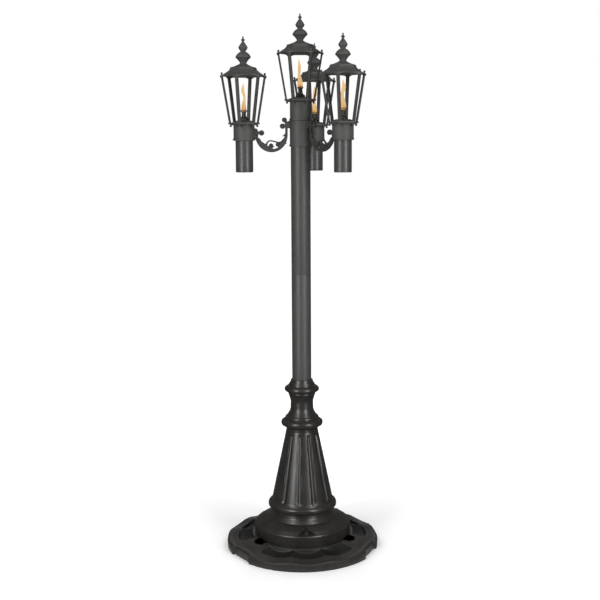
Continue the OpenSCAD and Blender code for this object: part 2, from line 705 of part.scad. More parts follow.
module gallery() {
    a = gallery_r * hex_k;
    low_a = (post_low_r - post_t / 2 - 1) * hex_k;
    top_a = cap_d / 2 + 8;
    color(charcoal) difference() {
        union() {
            six_sided([[a - 8, -gallery_t], [a - 6, -gallery_t + 2], [a - 2.5, -gallery_t + 4],
                [a, -gallery_t + 5.5], [a, -1], [a - 1, 0], [low_a, 0], [low_a - 3.5, 0.15 * boss_h],
                [low_a - 8, 0.5 * boss_h], [top_a + 3, 0.9 * boss_h], [top_a, boss_h]]);
            translate([0, 0, collar_top - spigot_h]) cylinder(h = spigot_h + 1, r = spigot_r);
            at_corners(drop_r, -gallery_t - 2) sphere(d = ball_d);
            at_corners(drop_r, -gallery_t - 2) cylinder(h = 5, d = 0.6 * ball_d);
        }
        translate([0, 0, collar_top - spigot_h - cut])
            cylinder(h = spigot_h + cut, r = canister_r + slide_gap);
        translate([0, 0, -gallery_t - cut])
            cylinder(h = gallery_t + boss_h + 2 * cut, d = mouth_d + 2 * slide_gap);
    }
}

// Posts: six bars that lean out from the gallery's corners to the roof's
post_low_r = gallery_r - post_t / 2 - 5.5;
post_top_r = roof_r - post_t / 2 - 4.5;
rib_t = 1.5;                              // height of the rib along a post's outer face

module post_bar(w, t_in, t_out) {
    rotate([90, 0, 0]) linear_extrude(w, center = true)
        polygon([[post_low_r - t_in, 0], [post_low_r + t_out, 0],
            [post_top_r + t_out, post_h], [post_top_r - t_in, post_h]]);
}

module posts() {
    color(charcoal) for (i = [0:5]) rotate([0, 0, 60 * i]) {
        post_bar(post_w, post_t / 2, post_t / 2);
        post_bar(post_w / 3, post_t / 2, post_t / 2 + rib_t);
    }
}

// Roof: six curved panels with a step half way up and an arched apron, hollow underneath
roof_top_z = post_h + roof_h;
roof_neck_r = 13;
eave_a = roof_r * hex_k;

function roof_points(inset) = let (z = roof_top_z - inset, a = eave_a - inset, n = a - 65)
    [[a, post_h - (inset > 0 ? cut : 0)], [a, z - 44.5], [a - 2, z - 43], [n + 57, z - 41.5],
     [n + 50, z - 36], [n + 43, z - 31], [n + 37.5, z - 26.5], [n + 33.5, z - 21], [n + 32, z - 16],
     [n + 29.5, z - 13.5], [n + 22, z - 11.5], [n + 14, z - 8], [n + 5.5, z - 4], [roof_neck_r, z]];

module roof() {
    arch_w = roof_r / 2 - post_w / 2 - 1;
    color(charcoal) difference() {
        union() {
            difference() {
                six_sided(roof_points(0));
                six_sided(roof_points(roof_wall));
            }
            intersection() {
                at_corners(post_top_r - post_t / 2 - 1, post_h)
                    translate([0, -post_w / 2 - 0.5, 0]) cube([20, post_w + 1, 14]);
                six_sided(roof_points(0));
            }
            translate([0, 0, roof_top_z - 16]) cylinder(h = 14, r = 10);
            at_corners(roof_r - 6, post_h + 16) sphere(d = ball_d);
            at_corners(roof_r - 6, post_h + 6) cylinder(h = 10, d = 0.6 * ball_d);
            at_corners(roof_r - 2.5, post_h + 5) sphere(d = ball_d - 1);
        }
        for (i = [0:2]) rotate([0, 0, 60 * i]) rotate([90, 0, 0])
            linear_extrude(3 * roof_r, center = true) polygon(concat([[-arch_w, post_h - cut]],
                [for (t = [180:-15:0]) [arch_w * cos(t), post_h + arch_rise * sin(t)]],
                [[arch_w, post_h - cut]]));
        translate([0, 0, roof_top_z - 20]) cylinder(h = 21, d = 8 + 2 * seat_gap);
    }
}

// Finial: turned, with two bulbs, a ring and a point, screwed into the roof
module finial() {
    z = roof_top_z;
    b = finial_bulb_d / 2;
    k = finial_h / 101;
    color(charcoal) rotate_extrude()
        polygon(concat([[0, z - 14], [4, z - 14], [4, z], [roof_neck_r - 0.5, z]],
            [[0.52 * b, z + 8 * k], [0.72 * b, z + 15 * k]],
            arc([b - 4, z + 23.5 * k], 4, -50, 50, 5),
            [[0.8 * b, z + 33 * k], [0.53 * b, z + 41 * k], [0.34 * b, z + 43.5 * k],
                [0.33 * b, z + 46 * k], [0.5 * b, z + 52 * k]],
            arc([0.6 * b - 3, z + 59 * k], 3, -50, 50, 5),
            [[0.42 * b, z + 68 * k], [0.2 * b, z + 77 * k], [0.14 * b, z + 81 * k],
                [0.18 * b, z + 84 * k]],
            arc([0.28 * b - 2.5, z + 87 * k], 2.5, -70, 70, 5),
            [[0.1 * b, z + 91 * k], [0.07 * b, z + 94 * k]],
            arc([0, z + finial_h - 3.2], 3.2, -40, 90, 6)));
}

// Canister: a drawn steel oil can with a rolled foot, hung from the gallery by its neck
canister_top = -gallery_t - seat_gap;
mouth_r = mouth_d / 2;
mouth_z = boss_h + mouth_h;

module canister() {
    z0 = canister_top - canister_h;
    r = canister_r;
    w = canister_wall;
    color(charcoal) rotate_extrude() difference() {
        polygon(concat([[0, z0 + 3], [r - 5, z0 + 3], [r - 4, z0]],
            arc([r - 1.5, z0 + 1.5], 1.5, -90, 45, 5), [[r - 0.6, z0 + 3.6], [r - 0.6, z0 + 4.4],
                [r, z0 + 5], [r, canister_top - 5]],
            arc([r - 5, canister_top - 5], 5, 0, 90, 6),
            [[mouth_r, canister_top], [mouth_r, mouth_z], [0, mouth_z]]));
        polygon([[-1, z0 + 3 + w], [r - 5, z0 + 3 + w], [r - w, z0 + 8], [r - w, canister_top - 5],
            [r - 5, canister_top - w], [mouth_r - w, canister_top - w], [mouth_r - w, mouth_z + cut],
            [-1, mouth_z + cut]]);
    }
}

// Seal: the cork ring between the canister's neck and the burner cap
seal_t = 1.6;
wick_r = wick_d / 2;

module cap_seal() {
    color([0.45, 0.33, 0.2]) tube(mouth_z + seat_gap, mouth_z + seat_gap + seal_t,
        mouth_r - 0.5, wick_r + 3);
}

// Burner: the screw cap, its waisted tube and the flange that the flame stands on
cap_in_z = mouth_z + 2 * seat_gap + seal_t;

module burner() {
    r = cap_d / 2;
    f = burner_flange_d / 2;
    tube_r = wick_r + 3;
    color(steel) rotate_extrude() polygon(concat(
        [[mouth_r + slide_gap, boss_h + slide_gap], [r, boss_h + slide_gap], [r, cap_in_z - 2],
            [r - 1.5, cap_in_z + 1.2], [r - 5, cap_in_z + 2.2]],
        arc([tube_r + 8, cap_in_z + 12], 8, 235, 180, 6),
        [[tube_r, burner_h - 14], [tube_r + 0.8, burner_h - 9], [f - 1, burner_h - 6]],
        arc([f - 2, burner_h - 3.5], 2, -60, 60, 4),
        [[f - 3, burner_h], [wick_r + slide_gap, burner_h], [wick_r + slide_gap, cap_in_z],
            [mouth_r + slide_gap, cap_in_z]]));
}

// Wick: a glass-fibre rope that reaches down into the oil
module wick() {
    z0 = canister_top - canister_h + 18;
    color([0.9, 0.87, 0.78]) translate([0, 0, z0]) {
        cylinder(h = burner_h + wick_out - z0 - 2, r = wick_r);
        translate([0, 0, burner_h + wick_out - z0 - 2]) cylinder(h = 2, r1 = wick_r, r2 = wick_r - 1.5);
    }
}

foot();
bell();
bell_bolts();
fluted_cone();
neck();
pole_flange();
flange_bolts();
flange_nuts();
lower_pole();
pole_coupler();
upper_pole();
top_collar();
top_collar_screws();
hub_sleeve();
hub_screws();
arm_at(1);  // arm_left
arm_at(2);  // arm_right
arm_at(0);  // arm_rear
collar_at(1);  // collar_left
collar_at(2);  // collar_right
collar_at(3);  // collar_rear
collar_screws_at(1);  // collar_screws_left
collar_screws_at(2);  // collar_screws_right
collar_screws_at(3);  // collar_screws_rear
at_lantern(0) gallery();  // gallery_top
at_lantern(1) gallery();  // gallery_left
at_lantern(2) gallery();  // gallery_right
at_lantern(3) gallery();  // gallery_rear
at_lantern(0) posts();  // posts_top
at_lantern(1) posts();  // posts_left
at_lantern(2) posts();  // posts_right
at_lantern(3) posts();  // posts_rear
at_lantern(0) roof();  // roof_top
at_lantern(1) roof();  // roof_left
at_lantern(2) roof();  // roof_right
at_lantern(3) roof();  // roof_rear
at_lantern(0) finial();  // finial_top
at_lantern(1) finial();  // finial_left
at_lantern(2) finial();  // finial_right
at_lantern(3) finial();  // finial_rear
at_lantern(0) canister();  // canister_top
at_lantern(1) canister();  // canister_left
at_lantern(2) canister();  // canister_right
at_lantern(3) canister();  // canister_rear
at_lantern(0) cap_seal();  // cap_seal_top
at_lantern(1) cap_seal();  // cap_seal_left
at_lantern(2) cap_seal();  // cap_seal_right
at_lantern(3) cap_seal();  // cap_seal_rear
at_lantern(0) burner();  // burner_top
at_lantern(1) burner();  // burner_left
at_lantern(2) burner();  // burner_right
at_lantern(3) burner();  // burner_rear
at_lantern(0) wick();  // wick_top
at_lantern(1) wick();  // wick_left
at_lantern(2) wick();  // wick_right
at_lantern(3) wick();  // wick_rear
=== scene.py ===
from math import atan, cos, hypot, pi, radians, sin, sqrt, tan

import bmesh
import bpy
import numpy as np
from mathutils import Matrix, Vector


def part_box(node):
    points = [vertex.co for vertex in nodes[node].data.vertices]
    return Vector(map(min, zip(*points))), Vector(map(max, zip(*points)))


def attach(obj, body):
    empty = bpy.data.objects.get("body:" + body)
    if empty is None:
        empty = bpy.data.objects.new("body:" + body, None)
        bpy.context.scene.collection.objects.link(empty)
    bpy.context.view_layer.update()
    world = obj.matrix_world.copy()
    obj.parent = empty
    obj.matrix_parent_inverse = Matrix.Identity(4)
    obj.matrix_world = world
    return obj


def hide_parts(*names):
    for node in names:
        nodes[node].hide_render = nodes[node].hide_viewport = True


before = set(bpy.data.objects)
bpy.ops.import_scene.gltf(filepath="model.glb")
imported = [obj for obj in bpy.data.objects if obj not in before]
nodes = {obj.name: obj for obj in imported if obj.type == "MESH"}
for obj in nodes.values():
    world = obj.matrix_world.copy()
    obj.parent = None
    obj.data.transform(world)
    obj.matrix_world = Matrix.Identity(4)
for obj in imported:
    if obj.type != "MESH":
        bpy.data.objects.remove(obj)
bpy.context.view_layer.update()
mm = 0.001

# Studio: the lamp stands on a pale floor in front of white, and the camera looks slightly down on
# it from 4 m away. Tall and high soft boxes in pairs draw the paired highlights, weaker ones light
# its back, and dark cards that only gloss can see keep the round edges dark.
camera_place = Vector((-0.0054, -4.002, 1.585))
camera_pitch = radians(8.30)
camera_roll = radians(-0.31)
camera_lens = 61.45
# Each pair stands to the left and the right, turned in degrees from the camera's side
soft_boxes = [dict(turn=38, width=0.5, height=2.6, away=2.6, middle=1.65, aimed_at=1.6, watts=40),
              dict(turn=54, width=0.6, height=0.6, away=1.75, middle=3.3, aimed_at=0.3, watts=14),
              dict(turn=158, width=0.6, height=2.1, away=2.6, middle=1.95, aimed_at=1.95, watts=26)]
room_light = 0.22
floor_half = 60.0
floor_low = -0.0005
floor_grey = 0.9
# How far the floor is lifted towards white, by metres from the pole. It is lifted least near the foot, so
# the floor there is painted a little darker, as painted shade besides the real shadow
floor_lift = dict(From_Min=0.33, From_Max=2.5, To_Min=0.17, To_Max=0.86)
card_turns = [radians(a) for a in (0, 30, 60, 90, 120, 145, 172)]
card_section = [(0.33, 0.003), (3.0, 0.003), (3.0, 3.9), (0.02, 3.9)]
card_grey = 0.08


def link(name, data):
    obj = bpy.data.objects.new(name, data)
    bpy.context.scene.collection.objects.link(obj)
    return obj


def make_mesh(name, points, faces):
    mesh = bpy.data.meshes.new(name)
    mesh.from_pydata([tuple(p) for p in points], [], [tuple(f) for f in faces])
    mesh.update()
    return mesh


def aim(obj, place, forward, roll=0.0):
    """Stands a camera or lamp at a place and turns it to look forward"""
    across = forward.cross(Vector((0, 0, 1))).normalized()
    level_up = across.cross(forward)
    right = across * cos(roll) + level_up * sin(roll)
    up = level_up * cos(roll) - across * sin(roll)
    facing = Matrix((right, up, -forward)).transposed().to_4x4()
    obj.matrix_world = Matrix.Translation(place) @ facing


camera_data = bpy.data.cameras.new("camera")
camera_data.sensor_width = 36
camera_data.lens = camera_lens
camera = link("camera", camera_data)
aim(camera, camera_place, Vector((0, cos(camera_pitch), -sin(camera_pitch))), camera_roll)
bpy.context.scene.camera = camera

for side in (-1, 1):
    for box in soft_boxes:
        lamp = bpy.data.lights.new("soft_box", "AREA")
        lamp.shape = "RECTANGLE"
        lamp.size, lamp.size_y, lamp.energy = box["width"], box["height"], box["watts"]
        turn = radians(box["turn"])
        place = Vector((side * box["away"] * sin(turn), -box["away"] * cos(turn), box["middle"]))
        soft_box = link("soft_box", lamp)
        soft_box.visible_camera = False
        soft_box.visible_glossy = box["turn"] < 90
        aim(soft_box, place, (Vector((0, 0, box["aimed_at"])) - place).normalized())


class Value:
    """A node's output. Sums that are written with it become Math nodes."""

    def __init__(self, socket):
        self.socket = socket

    def __add__(self, other):
        return maths("ADD", self, other)

    def __sub__(self, other):
        return maths("SUBTRACT", self, other)

    def __rsub__(self, other):
        return maths("SUBTRACT", other, self)

    def __mul__(self, other):
        return maths("MULTIPLY", self, other)

    def __truediv__(self, other):
        return maths("DIVIDE", self, other)

    def __rtruediv__(self, other):
        return maths("DIVIDE", other, self)


def put(socket, value):
    """Sets an input to a number, colour or name, or joins another node's output to it"""
    if isinstance(value, Value):
        socket.id_data.links.new(value.socket, socket)
    else:
        socket.default_value = (*value, 1.0) if socket.type == "RGBA" else value


def feed(node, *values, **named):
    """Puts values into a node's inputs, in their order or by name"""
    for place, value in enumerate(values):
        put(node.inputs[place], value)
    for name, value in named.items():
        put(node.inputs[name.replace("_", " ")], value)


def add(tree, kind, *values, **named):
    """New node, and its outputs by name; names in small letters are its settings"""
    node = tree.nodes.new(kind)
    for name in [n for n in named if n[0].islower()]:
        setattr(node, name, named.pop(name))
    feed(node, *values, **named)
    return {socket.name: Value(socket) for socket in reversed(node.outputs)}


def maths(operation, *terms):
    """Math node on other nodes' outputs and plain numbers"""
    tree = next(term.socket.id_data for term in terms if isinstance(term, Value))
    return add(tree, "ShaderNodeMath", *terms, operation=operation)["Value"]


def own_place(tree):
    """Places in a piece's own coordinates, which ride along when the piece moves"""
    return add(tree, "ShaderNodeTexCoord")["Object"]


def white_to_the_eye(tree):
    """1 for rays that see the background itself, and 0 for those that only light things"""
    ray = add(tree, "ShaderNodeLightPath")
    seen = maths("MAXIMUM", ray["Is Camera Ray"], ray["Is Glossy Ray"])
    return maths("MAXIMUM", seen, ray["Is Transmission Ray"])


def new_material(name):
    """Material, its node tree and its usual shader"""
    material = bpy.data.materials.new(name)
    material.use_nodes = True
    return material, material.node_tree, material.node_tree.nodes["Principled BSDF"]


def stage_material(name):
    """Material without a shader, its node tree and the node where its surface is put"""
    material, tree, shader = new_material(name)
    tree.nodes.remove(shader)
    return material, tree, tree.nodes["Material Output"]


world = bpy.data.worlds.new("studio")
bpy.context.scene.world = world
world.use_nodes = True
tree = world.node_tree
strength = add(tree, "ShaderNodeMapRange", Value=white_to_the_eye(tree), To_Min=room_light, To_Max=1.0)
feed(tree.nodes["Background"], Color=(1, 1, 1), Strength=strength["Result"])

corners = [(x * floor_half, y * floor_half, floor_low) for x, y in ((-1, -1), (1, -1), (1, 1), (-1, 1))]
floor = link("floor", make_mesh("floor", corners, [(0, 1, 2, 3)]))
floor_paint, tree, surface = stage_material("floor_paint")
away = add(tree, "ShaderNodeVectorMath", own_place(tree), operation="LENGTH")
lift = add(tree, "ShaderNodeMapRange", Value=away["Value"], **floor_lift)
matt = add(tree, "ShaderNodeBsdfDiffuse", Color=(floor_grey,) * 3)
glow = add(tree, "ShaderNodeEmission", Strength=white_to_the_eye(tree) * lift["Result"])
feed(surface, Surface=add(tree, "ShaderNodeAddShader", matt["BSDF"], glow["Emission"])["Shader"])
floor.data.materials.append(floor_paint)

card_paint, tree, surface = stage_material("card_paint")
feed(surface, Surface=add(tree, "ShaderNodeEmission", Color=(card_grey,) * 3)["Emission"])
for side in (-1, 1):
    corners = [(side * r * sin(t), -r * cos(t), z) for t in card_turns for r, z in card_section]
    bands = [(4 * k + j, 4 * k + j + 4, 4 * k + j + 5, 4 * k + j + 1)
             for k in range(len(card_turns) - 1) for j in range(3)]
    card = link("card", make_mesh("card", corners, bands))
    card.visible_camera = card.visible_diffuse = card.visible_shadow = card.visible_transmission = False
    card.data.materials.append(card_paint)

bpy.context.scene.view_settings.view_transform = "Standard"

# Foot: a heavy scalloped iron casting under the bell. It is painted a warm near-black over the
# skin that the sand mould left, and is hollow underneath, with twelve ribs.
foot_r = 305 * mm
foot_rim = 36 * mm
foot_deck = 52 * mm
foot_deck_r = 203 * mm
foot_round = 8 * mm
foot_land_r = foot_r - 20 * mm
pan_inner = 205 * mm
pan_outer = 261 * mm
pan_depth = 18 * mm
pan_half = 66 * mm
pan_slopes = 4 * mm, 7 * mm               # run of the pans' inner and outer walls
rim_dip = 6 * mm
dip_run = 6 * mm
dip_half = radians(12)
twelfth = radians(30)
third = radians(120)
bolt_turn = radians(35)                   # the first bell bolt, from which the foot is set out
notch_turns = [bolt_turn + radians(60 + 120 * i) for i in range(3)]
notch_at = 291 * mm
notch_half = 54 * mm
anchor_at = 209 * mm
anchor_hole = 5.5 * mm
pocket_floor = 26 * mm
pocket_corners = ((179, -28), (217, -28), (229, 0), (217, 28), (179, 28))
foot_wall = 8 * mm
hollow_height = 17 * mm
hollow_inner = 50 * mm
hollow_outer = 295 * mm
shelf_edge = 172 * mm
rib_half = 4.5 * mm
cut_low = -10 * mm
cut_high = 70 * mm
sectors = 600


def new_group(name, kind, inputs, outputs):
    """Node group, its inputs by name and its end; an input has its kind, or a number to start from"""
    group = bpy.data.node_groups.new(name, kind)
    for way, sockets in (("INPUT", inputs), ("OUTPUT", outputs)):
        for label, given in sockets.items():
            socket_kind = given if isinstance(given, str) else "Float"
            socket = group.interface.new_socket(label, in_out=way, socket_type="NodeSocket" + socket_kind)
            if socket_kind != given:
                socket.default_value = given
    return group, add(group, "NodeGroupInput"), group.nodes.new("NodeGroupOutput")


def noise(tree, vector, scale, detail=3.0, rough=0.5):
    """Noise with features about 1/scale metres across"""
    return add(tree, "ShaderNodeTexNoise", Vector=vector, Scale=scale, Detail=detail,
               Roughness=rough)["Fac"]


def ramp(tree, value, low, high):
    """Value spread from low..high to 0..1, smooth at both ends"""
    return add(tree, "ShaderNodeMapRange", interpolation_type="SMOOTHSTEP", Value=value,
               From_Min=low, From_Max=high)["Result"]


# The skin of a painted casting: sand grain, a slow unevenness and flecks where the paint lies thin
cast_skin, given, end = new_group(
    "cast_skin", "ShaderNodeTree",
    {"Vector": "Vector", "Grain Scale": 700.0, "Grain": 1.0, "Unevenness": 1.0},
    {"Height": "Float", "Cloud": "Float", "Fleck": "Float"})
place = given["Vector"]
grains = noise(cast_skin, place, given["Grain Scale"], 4.0, 0.65)
slow = noise(cast_skin, place, 70.0, 2.0)
pits = add(cast_skin, "ShaderNodeTexVoronoi", feature="SMOOTH_F1", Vector=place,
           Scale=given["Grain Scale"] * 0.55)
feed(end, Height=(grains + pits["Distance"] * 0.5) * given["Grain"] + slow * (given["Unevenness"] * 4.0),
     Cloud=ramp(cast_skin, noise(cast_skin, place, 16.0, 5.0, 0.6), 0.32, 0.68),
     Fleck=ramp(cast_skin, noise(cast_skin, place, 380.0, 2.0, 0.7), 0.56, 0.74))

# Masks from how sharply the surface turns: sharp edges, for a painted highlight, and hollows, for painted
# shade and a rougher finish
edge_highlight_hollow_shade_masks, given, end = new_group("edge_highlight_hollow_shade_masks", "ShaderNodeTree", {"Vector": "Vector", "Pointiness": 0.5},
                                  {"Edge": "Float", "Hollow": "Float"})
broken = noise(edge_highlight_hollow_shade_masks, given["Vector"], 120.0, 4.0, 0.6)
sharp = ramp(edge_highlight_hollow_shade_masks, given["Pointiness"], 0.505, 0.56)
deep = add(edge_highlight_hollow_shade_masks, "ShaderNodeMapRange", Value=given["Pointiness"], From_Min=0.495, From_Max=0.44)
feed(end, Edge=sharp * ramp(edge_highlight_hollow_shade_masks, broken, 0.35, 0.65), Hollow=deep["Result"])


def tint(tree, a, b, mask):
    """Colour that goes from a to b where the mask is 1; a and b are colours or other nodes' outputs"""
    node = tree.nodes.new("ShaderNodeMix")
    node.data_type = "RGBA"
    for socket, value in zip((node.inputs[0], *node.inputs[6:8]), (mask, a, b)):
        put(socket, value)
    return Value(node.outputs[2])


def skinned(name, bump, depth, **skin):
    """Material, its tree and shader with the bumps of a cast skin, and the skin's masks"""
    material, tree, shader = new_material(name)
    coat = add(tree, "ShaderNodeGroup", node_tree=cast_skin, Vector=own_place(tree), **skin)
    bumps = add(tree, "ShaderNodeBump", Strength=bump, Distance=depth, Height=coat["Height"])
    feed(shader, Normal=bumps["Normal"])
    return material, tree, shader, coat


def painted(name, base, thin_paint_and_edge_highlight, hollow_shade, rough, specular, grain_scale=700.0, grain=1.0, bump=0.25, uneven=1.0):
    """Satin paint over metal: base colour, lighter thinner paint in clouds and flecks, a painted highlight
    on sharp edges, painted shade in hollows
    """
    paint, tree, shader, coat = skinned(name, bump, 0.4 * mm, Grain_Scale=grain_scale, Grain=grain,
                                        Unevenness=uneven)
    pointiness = add(tree, "ShaderNodeNewGeometry")["Pointiness"]
    painted_light_masks = add(tree, "ShaderNodeGroup", node_tree=edge_highlight_hollow_shade_masks, Vector=own_place(tree), Pointiness=pointiness)
    colour = base
    # Painted light: the edge mask lays a painted highlight and the hollow mask lays painted shade
    for over, mask in ((thin_paint_and_edge_highlight, coat["Cloud"] * 0.45), (thin_paint_and_edge_highlight, coat["Fleck"] * 0.35),
                       (hollow_shade, painted_light_masks["Hollow"] * 0.5), (thin_paint_and_edge_highlight, painted_light_masks["Edge"] * 0.6)):
        colour = tint(tree, colour, over, mask)
    feed(shader, Base_Color=colour, Specular_IOR_Level=specular,
         Roughness=coat["Cloud"] * 0.08 + (rough - 0.04) + painted_light_masks["Hollow"] * 0.12)
    return paint


iron_paint = painted("warm_black_iron_paint", (0.0165, 0.0149, 0.0135), (0.033, 0.0297, 0.0269),
                     (0.0100, 0.0090, 0.0082), 0.34, 0.78, grain_scale=520.0, bump=0.10)


def bake_modifiers(obj):
    """Turns what the modifiers make into the object's own plain mesh"""
    depsgraph = bpy.context.evaluated_depsgraph_get()
    mesh = bpy.data.meshes.new_from_object(obj.evaluated_get(depsgraph))
    obj.modifiers.clear()
    obj.data = mesh


def dress(obj, paint):
    obj.data.materials.clear()
    obj.data.materials.append(paint)


def finished(obj, paint, body, part=None, crease=None):
    """Gives a piece its finish and its body, and hides the part that it stands for. It is shaded
    smooth, but for edges where faces meet at more than the crease, in degrees"""
    obj.data.shade_smooth()
    if crease:
        obj.data.set_sharp_from_angle(angle=radians(crease))
    dress(obj, paint)
    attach(obj, body)
    if part:
        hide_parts(part)


def point_places(mesh):
    """x, y and z of all points of a mesh"""
    places = np.zeros(len(mesh.vertices) * 3, np.float32)
    mesh.vertices.foreach_get("co", places)
    return places.reshape(-1, 3).T


def mark(mesh, name, values):
    """Attribute with a value for every point of a mesh"""
    mesh.attributes.new(name, "FLOAT", "POINT").data.foreach_set("value", values.astype(np.float32))


def carve(obj, *cutters):
    """Takes the cutters' shapes out of a piece, and removes them"""
    for cutter in cutters:
        tool = obj.modifiers.new("carve", "BOOLEAN")
        tool.operation = "DIFFERENCE"
        tool.solver = "EXACT"
        tool.object = cutter
    bake_modifiers(obj)
    for cutter in cutters:
        bpy.data.objects.remove(cutter)


def in_mm(corners):
    return [tuple(v * mm for v in corner) for corner in corners]


def turns(count):
    """Angles that share a full turn evenly"""
    return [2 * pi * k / count for k in range(count)]


def circle(radius, count, x=0.0):
    """Points round a circle whose middle is at x, anticlockwise"""
    return [(x + radius * cos(t), radius * sin(t)) for t in turns(count)]


def loft(name, rings):
    """Closed skin over rings of points, each anticlockwise from above, from the lowest to the highest"""
    n = len(rings[0])
    points = [p for ring in rings for p in ring]
    faces = [tuple(reversed(range(n))), tuple(range(len(points) - n, len(points)))]
    for a in range(0, len(points) - n, n):
        faces += [(a + k, a + (k + 1) % n, a + n + (k + 1) % n, a + n + k) for k in range(n)]
    return make_mesh(name, points, faces)


def prism(name, outline, low, high):
    """Closed prism over an outline of (x, y) points, anticlockwise"""
    return loft(name, [[(x, y, z) for x, y in outline] for z in (low, high)])


def nearest_turn(angle, step, start):
    """Signed angle to the nearest of the directions start, start + step, ..."""
    return (angle - start + step / 2) % step - step / 2


def smooth_step(x):
    x = np.clip(x, 0.0, 1.0)
    return x * x * (3 - 2 * x)


def plain_top(reach):
    """Heights of the foot's top before its pans are sunk: a deck, and a slope down to the rim"""
    slope = (foot_deck - foot_rim) / (foot_land_r - foot_deck_r)
    return np.clip(foot_deck - slope * (reach - foot_deck_r), foot_rim, foot_deck)


def foot_surface(reach, angle):
    """Heights of the foot's top at distances from the axis, for one direction"""
    height = plain_top(reach)
    turn = nearest_turn(angle, twelfth, bolt_turn)
    if abs(nearest_turn(angle, third, notch_turns[0])) > 0.999 * twelfth / 2:
        dish = (pan_half ** 2 + pan_depth ** 2) / (2 * pan_depth)
        middle = (pan_inner + pan_outer) / 2
        away = np.hypot(reach * cos(turn) - middle, reach * sin(turn))
        depth = np.sqrt(np.maximum(dish ** 2 - away ** 2, 0)) - (dish - pan_depth)
        inner_run, outer_run = pan_slopes
        walls = smooth_step((reach - pan_inner) / inner_run) * smooth_step((pan_outer - reach) / outer_run)
        height = height - np.maximum(depth, 0) * walls
        wave = foot_r * sin(dip_half)
        dip_r = (wave ** 2 + rim_dip ** 2) / (2 * rim_dip)
        dip = max(rim_dip - (foot_r * sin(turn)) ** 2 / (2 * dip_r), 0.0)
        height = height - dip * smooth_step((reach - pan_outer + 8 * mm) / dip_run)
    return height


def foot_edge(angle):
    """Distance to the foot's outer edge, which three straight notches cut back"""
    turn = abs(nearest_turn(angle, third, notch_turns[0]))
    end = atan(notch_half / notch_at)
    inside = float(smooth_step((end + radians(0.5) - turn) / radians(1.0)))
    return foot_r + (notch_at / cos(min(turn, end)) - foot_r) * inside


def foot_under(reach, angle):
    """Heights of the foot's underside: a hollow with ribs, between the wall and the middle boss"""
    turn = nearest_turn(angle, twelfth, bolt_turn + twelfth / 2)
    clear = 1.0 - smooth_step((rib_half - np.abs(reach * sin(turn))) / (1.5 * mm))
    hollow = smooth_step((reach - hollow_inner) / (3 * mm)) * smooth_step((hollow_outer - reach) / (4 * mm))
    shelf = smooth_step((shelf_edge - reach) / (14 * mm))
    return hollow * (hollow_height * clear + (foot_deck - foot_wall - hollow_height) * shelf)


top_rings = mm * np.concatenate([
    [60, 120, 160, 182, 192, 195, 197], np.arange(198.5, 213, 1.25), np.arange(214, 252, 2.6),
    np.arange(252.5, 263, 1.25), np.arange(265, 295, 3.0)])
edge_bends = np.linspace(0, pi / 2, 7)
edge_rows = in_mm([(0, 18), (0, 8), (0, 1.5), (0.5, 0.4), (1.5, 0)])       # inset and height
under_rings = mm * np.array([300, 297, 294, 291, 285, 260, 230, 205, 186, 180,
                             172, 165, 158, 120, 80, 56, 53, 50, 47, 20])
foot_points = []
for angle in turns(sectors):
    edge = foot_edge(angle)
    pull = 1 - (foot_r - edge) / foot_r * smooth_step((top_rings - 240 * mm) / (50 * mm))
    rim_z = float(foot_surface(np.array([foot_r]), angle)[0])
    column = [(r * k, z) for r, k, z in zip(top_rings, pull, foot_surface(top_rings, angle))]
    column += [(edge - foot_round * (1 - sin(b)), rim_z - foot_round * (1 - cos(b))) for b in edge_bends]
    column += [(edge - inset, z) for inset, z in edge_rows]
    column += [(min(r, edge - 3 * mm), z) for r, z in zip(under_rings, foot_under(under_rings, angle))]
    foot_points += [(r * cos(angle), r * sin(angle), z) for r, z in column]
rows = len(column)
top_middle, under_middle = len(foot_points), len(foot_points) + 1
foot_points += [(0, 0, foot_deck), (0, 0, 0)]
columns = [(i * rows, (i + 1) % sectors * rows) for i in range(sectors)]
foot_faces = [(after + j, after + j + 1, here + j + 1, here + j)
              for here, after in columns for j in range(rows - 1)]
for here, after in columns:
    foot_faces += [(here, after, top_middle), (after + rows - 1, here + rows - 1, under_middle)]
foot = link("foot_casting", make_mesh("foot_casting", foot_points, foot_faces))
cutters = []
for turn in notch_turns:
    for name, shape, low in (("pocket", in_mm(pocket_corners), pocket_floor),
                             ("hold_down", circle(anchor_hole, 32, anchor_at), cut_low)):
        cutter = prism(name, shape, low, cut_high)
        cutter.transform(Matrix.Rotation(turn, 4, "Z"))
        cutters.append(link(name, cutter))
carve(foot, *cutters)

# The foot's paint is duller than on the castings above, and painted shade darkens its pans, where the top
# is sunk below its plain slope
foot_paint = painted("foot_paint_with_painted_shade", (0.0245, 0.0225, 0.0208), (0.039, 0.0359, 0.0332),
                     (0.0140, 0.0129, 0.0119), 0.48, 0.38, grain_scale=520.0, bump=0.14)
x, y, z = point_places(foot.data)
reach = np.hypot(x, y)
# Painted shade: points sunk in the pans are marked, and the paint there turns darker
sunk = smooth_step((plain_top(reach) - z - 0.6 * mm) / (2.5 * mm))
mark(foot.data, "pan_painted_shade", sunk * (reach < pan_outer) * (z > hollow_height + 3 * mm))
tree = foot_paint.node_tree
shader = tree.nodes["Principled BSDF"]
edge_and_hollow_colour = Value(shader.inputs["Base Color"].links[0].from_socket)
pan_shade_mask = add(tree, "ShaderNodeAttribute", attribute_name="pan_painted_shade")["Fac"]
feed(shader, Base_Color=tint(tree, edge_and_hollow_colour, (0.0100, 0.0091, 0.0084), pan_shade_mask))
finished(foot, foot_paint, "post", "foot", crease=40)

# Bell: a thin iron cover that hides the pole's flange. It was turned on the pattern as a plain
# band, a domed shoulder and a top ring, with three gabled seats cut for its bolts.
seat_height = 97 * mm
seat_cut = 60 * mm
bell_bolt_at = 172 * mm


